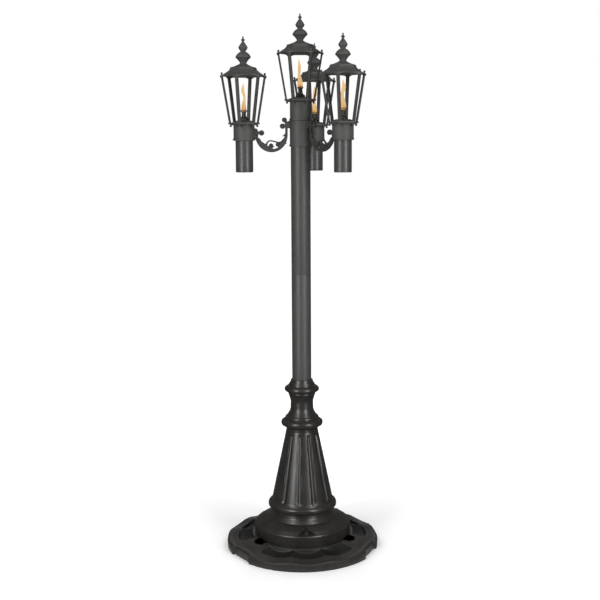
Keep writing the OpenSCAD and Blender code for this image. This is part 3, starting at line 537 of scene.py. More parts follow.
def fillet(corners, steps=4, closed=False):
    """Outline of (x, y, radius) corners with each one rounded to its radius"""
    points = []
    n = len(corners)
    for i, (x, y, r) in enumerate(corners):
        if r == 0 or (not closed and i in (0, n - 1)):
            points.append((x, y))
            continue
        here = Vector((x, y))
        before = (Vector(corners[i - 1][:2]) - here).normalized()
        after = (Vector(corners[(i + 1) % n][:2]) - here).normalized()
        bend = before.angle(after)
        if bend > pi - 0.01:
            points.append((x, y))
            continue
        back = r / tan(bend / 2)
        centre = here + (before + after).normalized() * r / sin(bend / 2)
        first, last = here + before * back - centre, here + after * back - centre
        for k in range(steps + 1):
            v = first.slerp(last, k / steps).normalized() * r
            points.append((centre.x + v.x, centre.y + v.y))
    return points


def lathe(name, outline, segments=128):
    """Closed solid of revolution from an outline of (radius, height) points, drawn anticlockwise"""
    points, rings = [], []
    for r, z in outline:
        if r < 1e-6:
            rings.append([len(points)] * segments)
            points.append((0, 0, z))
        else:
            rings.append(list(range(len(points), len(points) + segments)))
            points += [(x, y, z) for x, y in circle(r, segments)]
    faces = []
    for a, b in zip(rings, rings[1:] + rings[:1]):
        if a[0] == a[1] and b[0] == b[1]:
            continue
        for k in range(segments):
            face = [a[k], a[(k + 1) % segments], b[(k + 1) % segments], b[k]]
            faces.append(list(dict.fromkeys(face)))
    return make_mesh(name, points, faces)


bell_outline = fillet(in_mm([
    (188, 52, 0), (188, 56.2, 1), (193, 56.6, 1.2), (193, 93.5, 1.6), (190.5, 97.2, 2), (188, 98.2, 2),
    (172, 109.5, 30), (150, 119.5, 30), (136, 124.3, 8), (130.5, 130.5, 8), (123.5, 139, 10),
    (122, 142.6, 0), (121, 143, 0), (44, 143, 1), (44, 136, 1), (100, 128, 6), (138, 100, 6),
    (138, 52, 0)]))
seat_outline = in_mm([(-22, 0), (9, -34), (40, -34), (40, 34), (9, 34)])
bell = link("bell_casting", lathe("bell_casting", bell_outline, segments=192))
cutters = []
for i in range(3):
    gable = prism("seat", seat_outline, 0, seat_cut)
    gable.transform(Matrix.Rotation(bolt_turn + third * i, 4, "Z")
                    @ Matrix.Translation((bell_bolt_at, 0, seat_height)))
    cutters.append(link("seat", gable))
carve(bell, *cutters)
finished(bell, iron_paint, "post", "bell", crease=30)

# Bell bolts: three plated hex bolts on washers, which hold the bell and the foot together. The
# same bolt, smaller, holds the pole's flange out of sight under the bell.
bolt_d = 10 * mm
bolt_grip = 53 * mm
bolt_sides = 48


def hex_bolt(name, d, grip):
    """Bolt standing on its washer's seat at the origin, head up"""
    rings = []
    washer = 2 * mm
    for r, z, hexagon in ((0.5, -grip, 0), (0.5, 0, 0), (1.15, 0, 0), (1.2, 0.2 * washer, 0),
                          (1.2, 0.75 * washer, 0), (1.1, washer, 0), (0.93, washer, 1),
                          (0.95, 1.2 * washer, 1), (0.95, washer + 0.55 * d, 1),
                          (0.82, washer + 0.7 * d, 0)):
        ring = []
        for a in turns(bolt_sides):
            flat = cos(pi / 6) / cos((a % (pi / 3)) - pi / 6) if hexagon else 1.0
            ring.append((r * d * flat * cos(a), r * d * flat * sin(a), z))
        rings.append(ring)
    return loft(name, rings)


def end_tree(tree, shape, material, end):
    """Ends a Geometry Nodes tree: instances made real, in the material that the tree was given"""
    real = add(tree, "GeometryNodeRealizeInstances", shape)
    dressed = add(tree, "GeometryNodeSetMaterial", Geometry=real["Geometry"], Material=material)
    feed(end, dressed["Geometry"])


# Geometry Nodes tree that sets copies of a piece round the axis, each turned to face outwards
ring_of_copies, given, end = new_group(
    "ring_of_copies", "GeometryNodeTree",
    {"Geometry": "Geometry", "Piece": "Object", "Count": "Int", "Radius": "Float", "First Turn": "Float",
     "Material": "Material"}, {"Geometry": "Geometry"})
number = add(ring_of_copies, "GeometryNodeInputIndex")["Index"]
turn = number * (2 * pi / given["Count"]) + given["First Turn"]
spot = add(ring_of_copies, "ShaderNodeCombineXYZ", X=maths("COSINE", turn) * given["Radius"],
           Y=maths("SINE", turn) * given["Radius"])
facing = add(ring_of_copies, "ShaderNodeCombineXYZ", Z=turn)
dots = add(ring_of_copies, "GeometryNodePoints", Count=given["Count"], Position=spot["Vector"])
original = add(ring_of_copies, "GeometryNodeObjectInfo", Object=given["Piece"])
copies = add(ring_of_copies, "GeometryNodeInstanceOnPoints", Points=dots["Points"],
             Instance=original["Geometry"], Rotation=facing["Vector"])
end_tree(ring_of_copies, copies["Instances"], given["Material"], end)


def run_tree(obj, tree, **values):
    """Runs a Geometry Nodes tree on an object and keeps the plain mesh that it makes"""
    maker = obj.modifiers.new(tree.name, "NODES")
    maker.node_group = tree
    names = {s.name: s.identifier for s in tree.interface.items_tree if s.in_out == "INPUT"}
    for label, value in values.items():
        maker[names[label.replace("_", " ")]] = value
    bake_modifiers(obj)


def ring(name, mesh, count, radius, first_turn, paint):
    """Copies of a mesh round the axis, as one mesh object"""
    original = link("original", mesh)
    obj = link(name, bpy.data.meshes.new(name))
    run_tree(obj, ring_of_copies, Piece=original, Count=count, Radius=radius, First_Turn=first_turn,
             Material=paint)
    bpy.data.objects.remove(original)
    return obj


def moved(obj, x=0.0, y=0.0, z=0.0, turn=0.0):
    """Turns a piece's mesh about the axis and then moves it"""
    obj.data.transform(Matrix.Translation((x, y, z)) @ Matrix.Rotation(turn, 4, "Z"))
    return obj


def plated(name, rough, metal):
    """Zinc plate or brass with fine scratches and duller stains: material, tree, shader and stains"""
    paint, tree, shader, coat = skinned(name, 0.15, 0.2 * mm, Grain_Scale=1600.0, Grain=0.6, Unevenness=0.2)
    feed(shader, Metallic=metal, Roughness=coat["Cloud"] * 0.2 + rough)
    return paint, tree, shader, coat["Cloud"]


bolt_plate, tree, shader, stains = plated("dark_bolt_plate", 0.38, 0.75)
feed(shader, Base_Color=tint(tree, (0.10, 0.09, 0.08), (0.045, 0.038, 0.032), stains * 0.7))
bolts = ring("bell_hex_bolts", hex_bolt("bolt", bolt_d, bolt_grip), 3, bell_bolt_at, bolt_turn, bolt_plate)
moved(bolts, z=seat_height)
finished(bolts, bolt_plate, "post", "bell_bolts", crease=30)

# Pole flange, its bolts and nuts, and the sleeve inside the pole's joint: plain parts that the
# bell and the pole hide, so the solids stay as they are under the same finishes.
dress(nodes["pole_flange"], iron_paint)
for name in ("flange_bolts", "flange_nuts", "pole_coupler"):
    dress(nodes[name], bolt_plate)

# Fluted cone: the casting over the bell, with a fat bead at its foot. Its twelve round-ended
# flutes are cut into a turned blank by the tree below.
cone_high = 478 * mm
bead_high = 197 * mm
cone_low_r = 121.5 * mm
cone_high_r = 63.5 * mm
cone_sectors = 384
cone_rows = 100
flute_count = 12
flute_depth = 5 * mm
flute_low_width = 23 * mm
flute_high_width = 18 * mm
flute_turn = bolt_turn - radians(12.5)
flute_low = bead_high + 9.5 * mm
flute_high = cone_high - 19 * mm

flute_cutter, given, end = new_group(
    "flute_cutter", "GeometryNodeTree",
    {"Geometry": "Geometry", "Count": "Int", "Depth": "Float", "First Turn": "Float", "Low End": "Float",
     "High End": "Float", "Low Width": "Float", "High Width": "Float", "Material": "Material"},
    {"Geometry": "Geometry"})
position = add(flute_cutter, "GeometryNodeInputPosition")["Position"]
at = add(flute_cutter, "ShaderNodeSeparateXYZ", position)
x, y, z = at["X"], at["Y"], at["Z"]
out_r = maths("SQRT", x * x + y * y)
step = 2 * pi / given["Count"]
turned = maths("ARCTAN2", y, x) - given["First Turn"] + 4 * pi
from_flute = maths("FLOORED_MODULO", turned + step * 0.5, step) - step * 0.5
along = (z - given["Low End"]) / (given["High End"] - given["Low End"])
width = (given["High Width"] - given["Low Width"]) * along + given["Low Width"]
beyond = maths("MAXIMUM", maths("MAXIMUM", given["Low End"] - z, z - given["High End"]), 0.0)
across = out_r * from_flute * 2.0 / width
over = beyond * 2.0 / width
inside = maths("MAXIMUM", 1.0 - (across * across + over * over), 0.0)
outer_skin = add(flute_cutter, "GeometryNodeInputNamedAttribute", data_type="FLOAT", Name="outer_skin")
shrink = inside * given["Depth"] * outer_skin["Attribute"] * -1.0 / out_r
push = add(flute_cutter, "ShaderNodeCombineXYZ", X=x * shrink, Y=y * shrink)
fluted = add(flute_cutter, "GeometryNodeSetPosition", Geometry=given["Geometry"], Offset=push["Vector"])
end_tree(flute_cutter, fluted["Geometry"], given["Material"], end)

bead = fillet(in_mm([
    (44, 143, 0), (121, 143, 0.4), (121.6, 143.6, 0.4), (120, 151, 6), (119.5, 156.5, 1.5), (123, 159, 3),
    (137, 163.5, 9), (137, 181, 10), (126, 188, 5), (124, 190, 2), (123.5, 194, 2),
    (121.5, 197, 0)]), steps=8)
blank = [(cone_low_r + (cone_high_r - cone_low_r) * t, bead_high + (cone_high - bead_high) * t)
         for t in np.linspace(0, 1, cone_rows)[1:]]
inner_wall = in_mm([(44, 478), (44, 470), (52, 470), (110, 197), (110, 150), (44, 150)])
cone = link("fluted_cone_casting", lathe("fluted_cone_casting", bead + blank + inner_wall, cone_sectors))
mark(cone.data, "outer_skin", np.arange(len(cone.data.vertices)) < len(bead + blank) * cone_sectors)
run_tree(cone, flute_cutter, Count=flute_count, Depth=flute_depth, First_Turn=flute_turn, Low_End=flute_low,
         High_End=flute_high, Low_Width=flute_low_width, High_Width=flute_high_width, Material=iron_paint)
finished(cone, iron_paint, "post", "fluted_cone", crease=26)

# Neck: a turned casting that covers the step from the cone to the pole, with a bead under a
# ring at its top, a hollow waist, and a fatter bead at its foot.
neck_outline = fillet(in_mm([
    (38.5, 478, 0), (63.2, 478, 1), (63.2, 484, 1.5), (61.5, 486, 1), (62, 489, 1), (68, 492, 4),
    (83, 500, 9), (83, 515, 9), (69, 524.5, 3), (66, 526, 1.5), (67, 529.5, 2), (65.5, 534, 3),
    (60, 536.5, 8), (46, 560, 40), (44.8, 596, 40), (53, 624, 14), (54.5, 627, 1), (53.5, 630, 1.5),
    (54.5, 633, 1.5), (58, 634.5, 2), (68.5, 637, 8), (68.5, 650, 9), (57, 658.5, 3), (53, 659.5, 1.2),
    (52.5, 662, 1.2), (50.5, 667, 5), (46.5, 672, 4), (44.5, 677, 2), (43.5, 683.5, 1.5),
    (39.5, 684, 0.5), (38.5, 683, 0)]), steps=8)
neck = link("neck_casting", lathe("neck_casting", neck_outline, segments=160))
finished(neck, iron_paint, "post", "neck", crease=30)

# Pole: two painted 3 in steel tubes, one on top of the other over a hidden sleeve. The paint on
# the tubes and on all above them is a neutral charcoal, smoother than on the castings below.
pole_r = 38.1 * mm
pole_bore = 35.6 * mm
pole_chamfer = 0.8 * mm
tube_paint = painted("charcoal_tube_paint", (0.048, 0.0474, 0.0460), (0.062, 0.0608, 0.0588),
                     (0.033, 0.0324, 0.0311), 0.46, 0.52, grain_scale=900.0, grain=0.6, bump=0.08,
                     uneven=0.5)


def heights(name):
    """Lowest and highest point of a part's solid"""
    return [corner.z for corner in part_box(name)]


def tube(name, part, outer, inner, chamfer, paint, body):
    """Plain tube that stands for a part and takes its heights"""
    low, high = heights(part)
    outline = fillet([(inner, low, 0), (outer, low, chamfer), (outer, high, chamfer),
                      (inner, high, 0)], steps=3)
    finished(link(name, lathe(name, outline)), paint, body, part, crease=35)


for part in ("lower_pole", "upper_pole"):
    tube(part + "_tube", part, pole_r, pole_bore, pole_chamfer, tube_paint, "post")

# Hub and collars: short sleeves of heavier tube. The hub carries the three arms, the top collar
# holds the middle lantern, and each has set screws near its lower edge.
hub_r = 41.25 * mm
collar_r = 40.4 * mm
sleeve_bore = 38.4 * mm
lip_bore = 33.85 * mm
lip_height = 10 * mm
lip_step = 0.5 * mm
sleeve_chamfer = 1.6 * mm
screw_sink = 0.3 * mm
collar_round = 0.6 * mm
arm_turn = {"left": radians(195), "right": radians(315), "rear": radians(75)}
cast_paint = painted("charcoal_casting_paint", (0.052, 0.0512, 0.0499), (0.074, 0.0725, 0.0696),
                     (0.034, 0.0333, 0.0318), 0.57, 0.42, grain_scale=600.0, bump=0.20)


def screw_pair(name, centre, height, reach, body, part):
    """Two domed set screws on opposite sides of a sleeve"""
    outline = fillet(in_mm([
        (0, -6, 0), (2.5, -6, 0), (2.5, 0, 0), (3.9, 0, 0.3), (3.6, 2.4, 0.8), (2.4, 3.5, 0.6),
        (1.3, 3.5, 0), (1.2, 2.0, 0), (0, 2.0, 0)]), steps=3)
    screw = lathe("screw", outline, segments=24)
    screw.transform(Matrix.Rotation(pi / 2, 4, "Y"))
    piece = ring(name, screw, 2, reach, arm_turn["left"], bolt_plate)
    moved(piece, centre.x, centre.y, height)
    finished(piece, bolt_plate, body, part, crease=40)


def middle(name):
    low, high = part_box(name)
    return (low + high) / 2


for part, screws, body, radius in (("hub_sleeve", "hub_screws", "hub", hub_r),
                                   ("top_collar", "top_collar_screws", "post", collar_r)):
    tube(part + "_tube", part, radius, sleeve_bore, sleeve_chamfer, cast_paint, body)
    screw_height = heights(part)[0] + lip_height / 2
    screw_pair(screws + "_heads", Vector((0, 0, 0)), screw_height, radius, body, screws)
for side in arm_turn:
    part = "collar_" + side
    low, high = heights(part)
    lip = low + lip_height
    lip_r = collar_r - lip_step
    outline = fillet([
        (lip_bore, low, 0), (lip_r - 1 * mm, low, 1.5 * mm), (lip_r, low + 1.2 * mm, collar_round),
        (lip_r, lip - 1 * mm, collar_round), (collar_r, lip, collar_round), (collar_r, high, 1.5 * mm),
        (sleeve_bore, high, 0), (sleeve_bore, lip, 0), (lip_bore, lip, 0)], steps=3)
    centre = middle(part)
    piece = moved(link(part + "_sleeve", lathe(part, outline)), centre.x, centre.y)
    finished(piece, cast_paint, "hub", part, crease=35)
    screw_pair("collar_screw_heads_" + side, centre, low + lip_height / 2, collar_r - screw_sink, "hub",
               "collar_screws_" + side)

# Arms: flat pierced scrolls cast in one with their leaves, buds and round bosses. They are drawn
# as strokes of changing width, melted into one skin and smoothed, as a casting's corners are.
scroll_paint = painted("dark_scroll_paint", (0.027, 0.0265, 0.0257), (0.046, 0.0452, 0.0430),
                       (0.016, 0.0155, 0.0147), 0.50, 0.38, grain_scale=600.0, bump=0.20)
arm_half = 5 * mm
scroll_x = 114.9 * mm
scroll_z = 1643.5 * mm
stroke_sides = 20
stroke_end = 0.6                          # shares of a stroke's width: its rounded end's length,
stroke_tip = 0.45                         # and how wide it is there
cast_grain = 0.75 * mm


def curve_through(points, per_span=10):
    """Smooth curve through control points of any number of values"""
    p = np.array([points[0]] + list(points) + [points[-1]], float)
    t = np.linspace(0, 1, per_span, endpoint=False)[:, None]
    spans = [0.5 * (2 * b + (c - a) * t + (2 * a - 5 * b + 4 * c - d) * t ** 2
                    + (3 * b - a - 3 * c + d) * t ** 3) for a, b, c, d in zip(p, p[1:], p[2:], p[3:])]
    return np.vstack(spans + [p[-1:]])


def stroke(points):
    """Closed bar along (x, z, half width) control points, flat across the arm and rounded at its edges"""
    path = curve_through(in_mm(points))
    along = np.gradient(path[:, :2], axis=0)
    along /= np.linalg.norm(along, axis=1)[:, None] + 1e-12
    path = np.vstack([path[:1], path, path[-1:]])
    path[0, :2] -= along[0] * path[0, 2] * stroke_end
    path[-1, :2] += along[-1] * path[-1, 2] * stroke_end
    path[[0, -1], 2] *= stroke_tip
    along = np.vstack([along[:1], along, along[-1:]])
    rings = []
    for (x, z, w), (tx, tz) in zip(path, along):
        deep = min(arm_half, 1.2 * w + 1.2 * mm)
        ring_points = []
        for a in turns(stroke_sides):
            across = w * np.sign(cos(a)) * abs(cos(a)) ** 0.8
            out = deep * np.sign(sin(a)) * abs(sin(a)) ** 0.55
            ring_points.append((x - tz * across, out, z + tx * across))
        rings.append(ring_points)
    return loft("stroke", rings)


def boss(x, z, r):
    """Round boss with a raised button on both faces, its axis across the arm"""
    half = fillet(in_mm([(0, 8.2, 0), (0.30 * r, 8.2, 1.4), (0.42 * r, 5.6, 0.8), (0.72 * r, 5.2, 1),
                         (r, 5.0, 2.2), (r, 0, 0)]), steps=4)
    mesh = lathe("boss", [(px, -pz) for px, pz in half[-2::-1]] + half, segments=40)
    mesh.transform(Matrix.Translation((x * mm, 0, z * mm)) @ Matrix.Rotation(pi / 2, 4, "X"))
    return mesh


def arc_points(radius, first, last, width, last_width, count=13):
    return [(radius * cos(radians(a)), radius * sin(radians(a)), w)
            for a, w in zip(np.linspace(first, last, count), np.linspace(width, last_width, count))]


def join(name, *meshes):
    """One mesh from several"""
    work = bmesh.new()
    for mesh in meshes:
        work.from_mesh(mesh)
    whole = bpy.data.meshes.new(name)
    work.to_mesh(whole)
    work.free()
    return whole


arm_shapes = [stroke(s) for s in (
    arc_points(58.2, 180, 268, 4.8, 6.2), arc_points(58.2, 262, 358, 6.2, 5.0),
    [(-58.9, -6, 4.6), (-58.9, 12, 4.6), (-58.9, 30, 4.8), (-58.6, 44, 5.2), (-56, 53, 5.4),
     (-51.5, 58, 6)],
    [(-60, 34.5, 5), (-52, 34.5, 5.6), (-44, 34.5, 6)],
    [(-74.3, 40, 17), (-68, 39, 14), (-62, 36, 11)],
    [(-55, 4, 3.5), (-49.5, -1.2, 2.4), (-42, -2.8, 0.8)],
    [(-57, -4, 5), (-54, -14, 6.5), (-46, -24, 8), (-38, -33, 7.5), (-30, -42, 6)],
    [(-54, -27, 3.5), (-59, -32.6, 0.9)],
    [(-47, -23, 4.6), (-39, -25.6, 3.6), (-26.4, -27.4, 2.8), (-13, -23.8, 2.6), (2.8, -20.7, 2.6),
     (12.5, -23, 2.7), (18.6, -30, 3.0), (21, -38, 4.8), (20, -48, 7)],
    [(-26.5, -29, 4), (-23.2, -34.6, 6.6), (-20.5, -37.5, 4.5)],
    [(-20, -38.5, 3.2), (-27, -41, 3.4), (-36, -39.5, 5)],
    [(36.5, -25.4, 0.8), (33.5, -31, 4), (29, -39, 8), (20, -47, 8), (8, -53, 6)],
    [(51, -12, 3.6), (47, -19, 4.4), (41, -29, 5), (34, -38, 6)],
    [(2, -41, 6.4), (2.2, -48, 6.2), (3.5, -56, 9)],
    [(0, -46, 3.4), (-6, -43.5, 2.2), (-10.8, -41.8, 0.8)],
    [(4, -46, 3.4), (9.6, -43, 1.8), (12.5, -40.4, 0.8)],
    [(57.5, -4, 5.2), (57.5, 4, 6), (60, 10, 9), (67.2, 10, 12)],
    [(58, 12, 6), (60, 20, 5), (67, 22, 5)],
    [(58, 4, 5), (60, -6, 5), (67, -9, 5)],
    [(58, 9, 6), (50, 9.4, 5.2), (42, 9.4, 5.6)])]
arm_shapes += [boss(x, z, r) for x, z, r in (
    (-51.2, 58.2, 9.2), (-43.8, 34.5, 10.2), (39.2, 9.0, 10.2), (2.1, -38.6, 8.0), (-23, -34.6, 6.6))]
arm_mesh = join("arm", *arm_shapes)
arm_mesh.transform(Matrix.Translation((scroll_x, 0, scroll_z)))
arm = link("arm", arm_mesh)
melt = arm.modifiers.new("melt", "REMESH")
melt.mode = "VOXEL"
melt.voxel_size = cast_grain
ease = arm.modifiers.new("ease", "SMOOTH")
ease.factor = 0.5
ease.iterations = 5
bake_modifiers(arm)
for side, turn in arm_turn.items():
    piece = moved(link("arm_scroll_" + side, arm.data.copy()), turn=turn)
    finished(piece, scroll_paint, "hub", "arm_" + side)
bpy.data.objects.remove(arm)

# Gallery: the six-sided moulded plate under each lantern. A short spigot below it drops into the
# collar, a low boss above it carries the burner, and a small ball hangs at each corner.
lantern_sides = ("top", "left", "right", "rear")
roof_low = 166 * mm                       # the roof's eaves above the gallery
plate_reach = 62 * cos(pi / 6)            # mm to the plate's faces
corner_round = 1.2 * mm
face_points = 12
corner_points = 3
drop_reach = 51.5 * mm
drop_height = -12.5 * mm
lantern_place, lantern_turn = {}, {}
for side in lantern_sides:
    centre = middle("burner_" + side)
    centre.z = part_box("roof_" + side)[0].z - roof_low
    lantern_place[side] = centre
    lantern_turn[side] = 0.0 if side == "top" else radians(75)


def six_ring(reach, height, square, arch=0.0, arch_half=0.0):
    """Ring of points round a lantern: a hexagon with the given distance to its faces where square
    is 1, and a circle of that radius where it is 0; arch lifts the middle of each face"""
    half = (reach - corner_round) * tan(pi / 6)
    bends = [radians(60) * k / (corner_points + 1) for k in range(1, corner_points + 1)]
    flat = [(reach, half * (2 * k / face_points - 1)) for k in range(face_points + 1)]
    flat += [(reach - corner_round * (1 - cos(b)), half + corner_round * sin(b)) for b in bends]
    points = []
    for i in range(6):
        face = radians(30 + 60 * i)
        for n, (u, v) in enumerate(flat):
            lift = 0.0
            if arch and n <= face_points and abs(v) < arch_half:
                lift = arch * sqrt(1 - (v / arch_half) ** 2)
            a = face + atan(v / u)
            r = hypot(u, v) * square + reach * (1 - square)
            points.append((r * cos(a), r * sin(a), height + lift))
    return points


def six_loft(name, outline):
    """Closed tube over six-sided rings given as (reach, height, square) corners in mm, round its wall"""
    rings = [six_ring(r * mm, z * mm, square) for r, z, square in outline]
    mesh = loft(name, rings + rings[:1])
    work = bmesh.new()
    work.from_mesh(mesh)
    work.faces.ensure_lookup_table()
    bmesh.ops.delete(work, geom=work.faces[:2], context="FACES")
    bmesh.ops.remove_doubles(work, verts=work.verts, dist=1e-7)
    work.to_mesh(mesh)
    work.free()
    return mesh


def six_round(mesh, reach, height, paint):
    """Mesh of six copies round a lantern's axis"""
    copies = moved(ring("six", mesh, 6, reach, 0.0, paint), z=height)
    six = copies.data
    bpy.data.objects.remove(copies)
    return six


def at_each_lantern(name, mesh, paint, part, crease, bodies="lantern_"):
    """A copy of the piece in each of the four lanterns, riding the lantern's own body"""
    for side, centre in lantern_place.items():
        piece = link(name + "_" + side, mesh.copy())
        moved(piece, *centre, lantern_turn[side])
        finished(piece, paint, bodies + side, part + "_" + side, crease=crease)


def ball_drop(r, neck_r, neck, up=1):
    """Small ball on a stem that rises from it, or hangs where up is -1"""
    outline = [(0, -r)] + [(r * cos(a), r * sin(a)) for a in np.linspace(-1.2, 0.9, 9)]
    outline += [(neck_r, r * 0.95), (neck_r * 1.25, neck * 0.7), (neck_r * 1.6, neck), (0, neck)]
    mesh = lathe("ball", outline, segments=24)
    if up < 0:
        mesh.transform(Matrix.Rotation(pi, 4, "X"))
    return mesh


spigot = [(33.7, -30, 0), (37.6, -30, 0), (38.1, -29.4, 0), (38.1, -10.2, 0)]
moulding = [(plate_reach - inset, z, 1) for inset, z in (
    (9, -10), (7.5, -9.6), (6.5, -8), (5, -6.6), (2.5, -6), (0.8, -5), (0, -4), (0, -1.2), (0.8, -0.2),
    (2, 0))]
boss_top = [(44, 0.2, 1), (40.5, 1.2, 0.9), (36, 3.8, 0.6), (31, 6.4, 0.3), (28, 7.7, 0.1), (26, 8, 0),
            (16.4, 8, 0), (16.4, -10, 0), (33.7, -10.2, 0)]
plate = six_loft("gallery", spigot + moulding + boss_top)
drops = six_round(ball_drop(4.4 * mm, 1.8 * mm, 8 * mm), drop_reach, drop_height, cast_paint)
gallery_mesh = join("gallery", plate, drops)
at_each_lantern("gallery_plate", gallery_mesh, cast_paint, "gallery", crease=34)

# Posts: six flat bars with a raised rib down the outer face, leaning out from the plate's corners
# to the roof's and riveted over inside it.
post_low = 53.5 * mm
post_high = 81.5 * mm
post_top = 171 * mm
bar = fillet(in_mm([(-3, -6.5, 1), (3, -6.5, 1), (3, -2.6, 0.4), (4.5, -1.7, 0.7), (4.5, 1.7, 0.7),
                    (3, 2.6, 0.4), (3, 6.5, 1), (-3, 6.5, 1)]), steps=3, closed=True)
lean = (post_high - post_low) / roof_low
post_mesh = loft("post", [[(post_low + lean * z + u, v, z) for u, v in bar] for z in (0.0, post_top)])
posts = six_round(post_mesh, 0.0, 0.0, scroll_paint)
at_each_lantern("posts_ribbed", posts, scroll_paint, "posts", crease=40)

# Roof: six curved panels cast as one shell, with a step near the eaves, a shoulder half way up
# and an arch along the foot of each panel. Two small balls sit on every corner.
eave = 89 * mm * cos(pi / 6)
eave_wall = 5 * mm
arch_rise = 7.5 * mm
arch_half = 37 * mm
wall = 3.6 * mm
tip_r = 16                                # mm, within which the corners begin to round
roof_shape = [(77.1, 174.4), (76.6, 175.3), (74.6, 176.2), (72, 176.7), (69.0, 177.6), (65.5, 180.2),
              (62.0, 182.9), (58.5, 185.4), (55.0, 187.9), (52.2, 190.0), (49.6, 192.5), (47.2, 195.4),
              (45.7, 198.2), (44.6, 201), (44.3, 203.4), (43.4, 204.9), (41.6, 205.7), (38, 206.5),
              (34, 207.6), (30, 209.2), (26, 211.1), (21.8, 213.1), (17.5, 215.2), (15, 217.1), (13, 219)]
outer = [six_ring(eave, roof_low, 1, arch_rise, arch_half),
         six_ring(eave, roof_low + eave_wall, 1, arch_rise * 0.55, arch_half)]
outer += [six_ring(r * mm, z * mm, 1 if r > tip_r else 0.6) for r, z in roof_shape]
inner = [six_ring(eave - wall, roof_low, 1, arch_rise, arch_half - wall * 0.3)]
inner += [six_ring(max(r * mm - wall, 9 * mm), z * mm - wall, 1) for r, z in roof_shape[1:-1:2]]
upper_balls = six_round(ball_drop(4.4 * mm, 2.4 * mm, 9 * mm, up=-1), 83 * mm, 181.8 * mm, cast_paint)
lower_balls = six_round(ball_drop(4.0 * mm, 2.2 * mm, 4.5 * mm), 86.3 * mm, 170.6 * mm, cast_paint)
roof_mesh = join("roof", loft("roof", inner[::-1] + outer), upper_balls, lower_balls)
at_each_lantern("roof_shell", roof_mesh, cast_paint, "roof", crease=24)

# Finial: a turned spire with two bulbs like tops, a small ring and a bead. Its stem is screwed
# into the roof, and it wears the same charcoal paint.
finial_outline = fillet(in_mm([
    (0, 205, 0), (4, 205, 0), (4, 219, 0), (12.5, 219, 1), (12.4, 221.5, 2), (15.5, 227, 6),
    (21.5, 234.5, 8), (29.9, 242.2, 2.6), (24, 252.5, 8), (16.5, 259.5, 6), (10.5, 262.5, 2),
    (9.9, 265.5, 2), (15, 271.5, 4), (18.0, 278.2, 2.4), (12.5, 287.5, 8), (6, 296.5, 6), (4.2, 300.5, 2),
    (5.4, 303.3, 1.5), (8.5, 306.2, 1.6), (5, 309.2, 1.5), (3, 311.5, 1.5), (2.2, 313.6, 1),
    (3.4, 316.4, 1.6), (2.2, 319, 1.2), (0, 320, 0)]), steps=6)
finial_mesh = lathe("finial", finial_outline, segments=64)
at_each_lantern("finial_spire", finial_mesh, cast_paint, "finial", crease=45)

# Canister: a drawn steel oil can with a rolled foot. It hangs from the gallery by its neck and
# lifts out with the lantern.
can_paint = painted("satin_can_paint", (0.041, 0.0404, 0.0393), (0.055, 0.0539, 0.0520),
                    (0.028, 0.0275, 0.0264), 0.38, 0.60, grain_scale=1100.0, grain=0.2, bump=0.03,
                    uneven=0.1)
can_outline = fillet(in_mm([
    (0, -184.1, 0), (28.3, -184.1, 2), (29.3, -187.1, 0.6), (33.2, -187.1, 1.4), (33.2, -183.6, 0.8),
    (32.7, -183.2, 0.4), (32.7, -182.6, 0.4), (33.35, -182, 0.6), (33.35, -10.1, 4.5), (16, -10.1, 0.6),
    (16, 12, 0.4), (14.8, 12, 0.4), (14.8, -11.3, 0.4), (32.1, -11.3, 3.5), (32.1, -179.1, 1),
    (28.3, -182.9, 1), (0, -182.9, 0)]), steps=4)
can_mesh = lathe("canister", can_outline, segments=96)
at_each_lantern("oil_canister", can_mesh, can_paint, "canister", crease=35)

# Cap seal: the cork ring that the burner cap presses on the canister's mouth. Only its edge could
# ever be seen, so the solid stays under a cork finish.
cork, tree, shader = new_material("pressed_cork")
crumbs = ramp(tree, noise(tree, own_place(tree), 900.0, 3.0, 0.7), 0.4, 0.6)
feed(shader, Roughness=0.9, Base_Color=tint(tree, (0.36, 0.21, 0.10), (0.17, 0.09, 0.045), crumbs))
for side in lantern_sides:
    dress(nodes["cap_seal_" + side], cork)

# Burner: a spun brass cap and wick tube in dark paint. The flange round the wick is bare brass, browned by
# the flame's heat, and its bright gold band is a painted reflection of the flame's light.
burner_top = 47.0 * mm


def mark_height(mesh, low, high):
    """Attribute that runs from 0 at the low height to 1 at the high one, up the piece itself"""
    mark(mesh, "rise", np.clip((point_places(mesh)[2] - low) / (high - low), 0, 1))


def colours_up(tree, *stops):
    """Colour that changes up the piece, from (share of the height, colour) stops between 0 and 1"""
    node = tree.nodes.new("ShaderNodeValToRGB")
    put(node.inputs["Fac"], add(tree, "ShaderNodeAttribute", attribute_name="rise")["Fac"])
    for share, colour in stops[1:-1]:
        node.color_ramp.elements.new(share)
    for stop, (share, colour) in zip(node.color_ramp.elements, stops):
        stop.color = (*colour, 1.0)
    return Value(node.outputs["Color"])


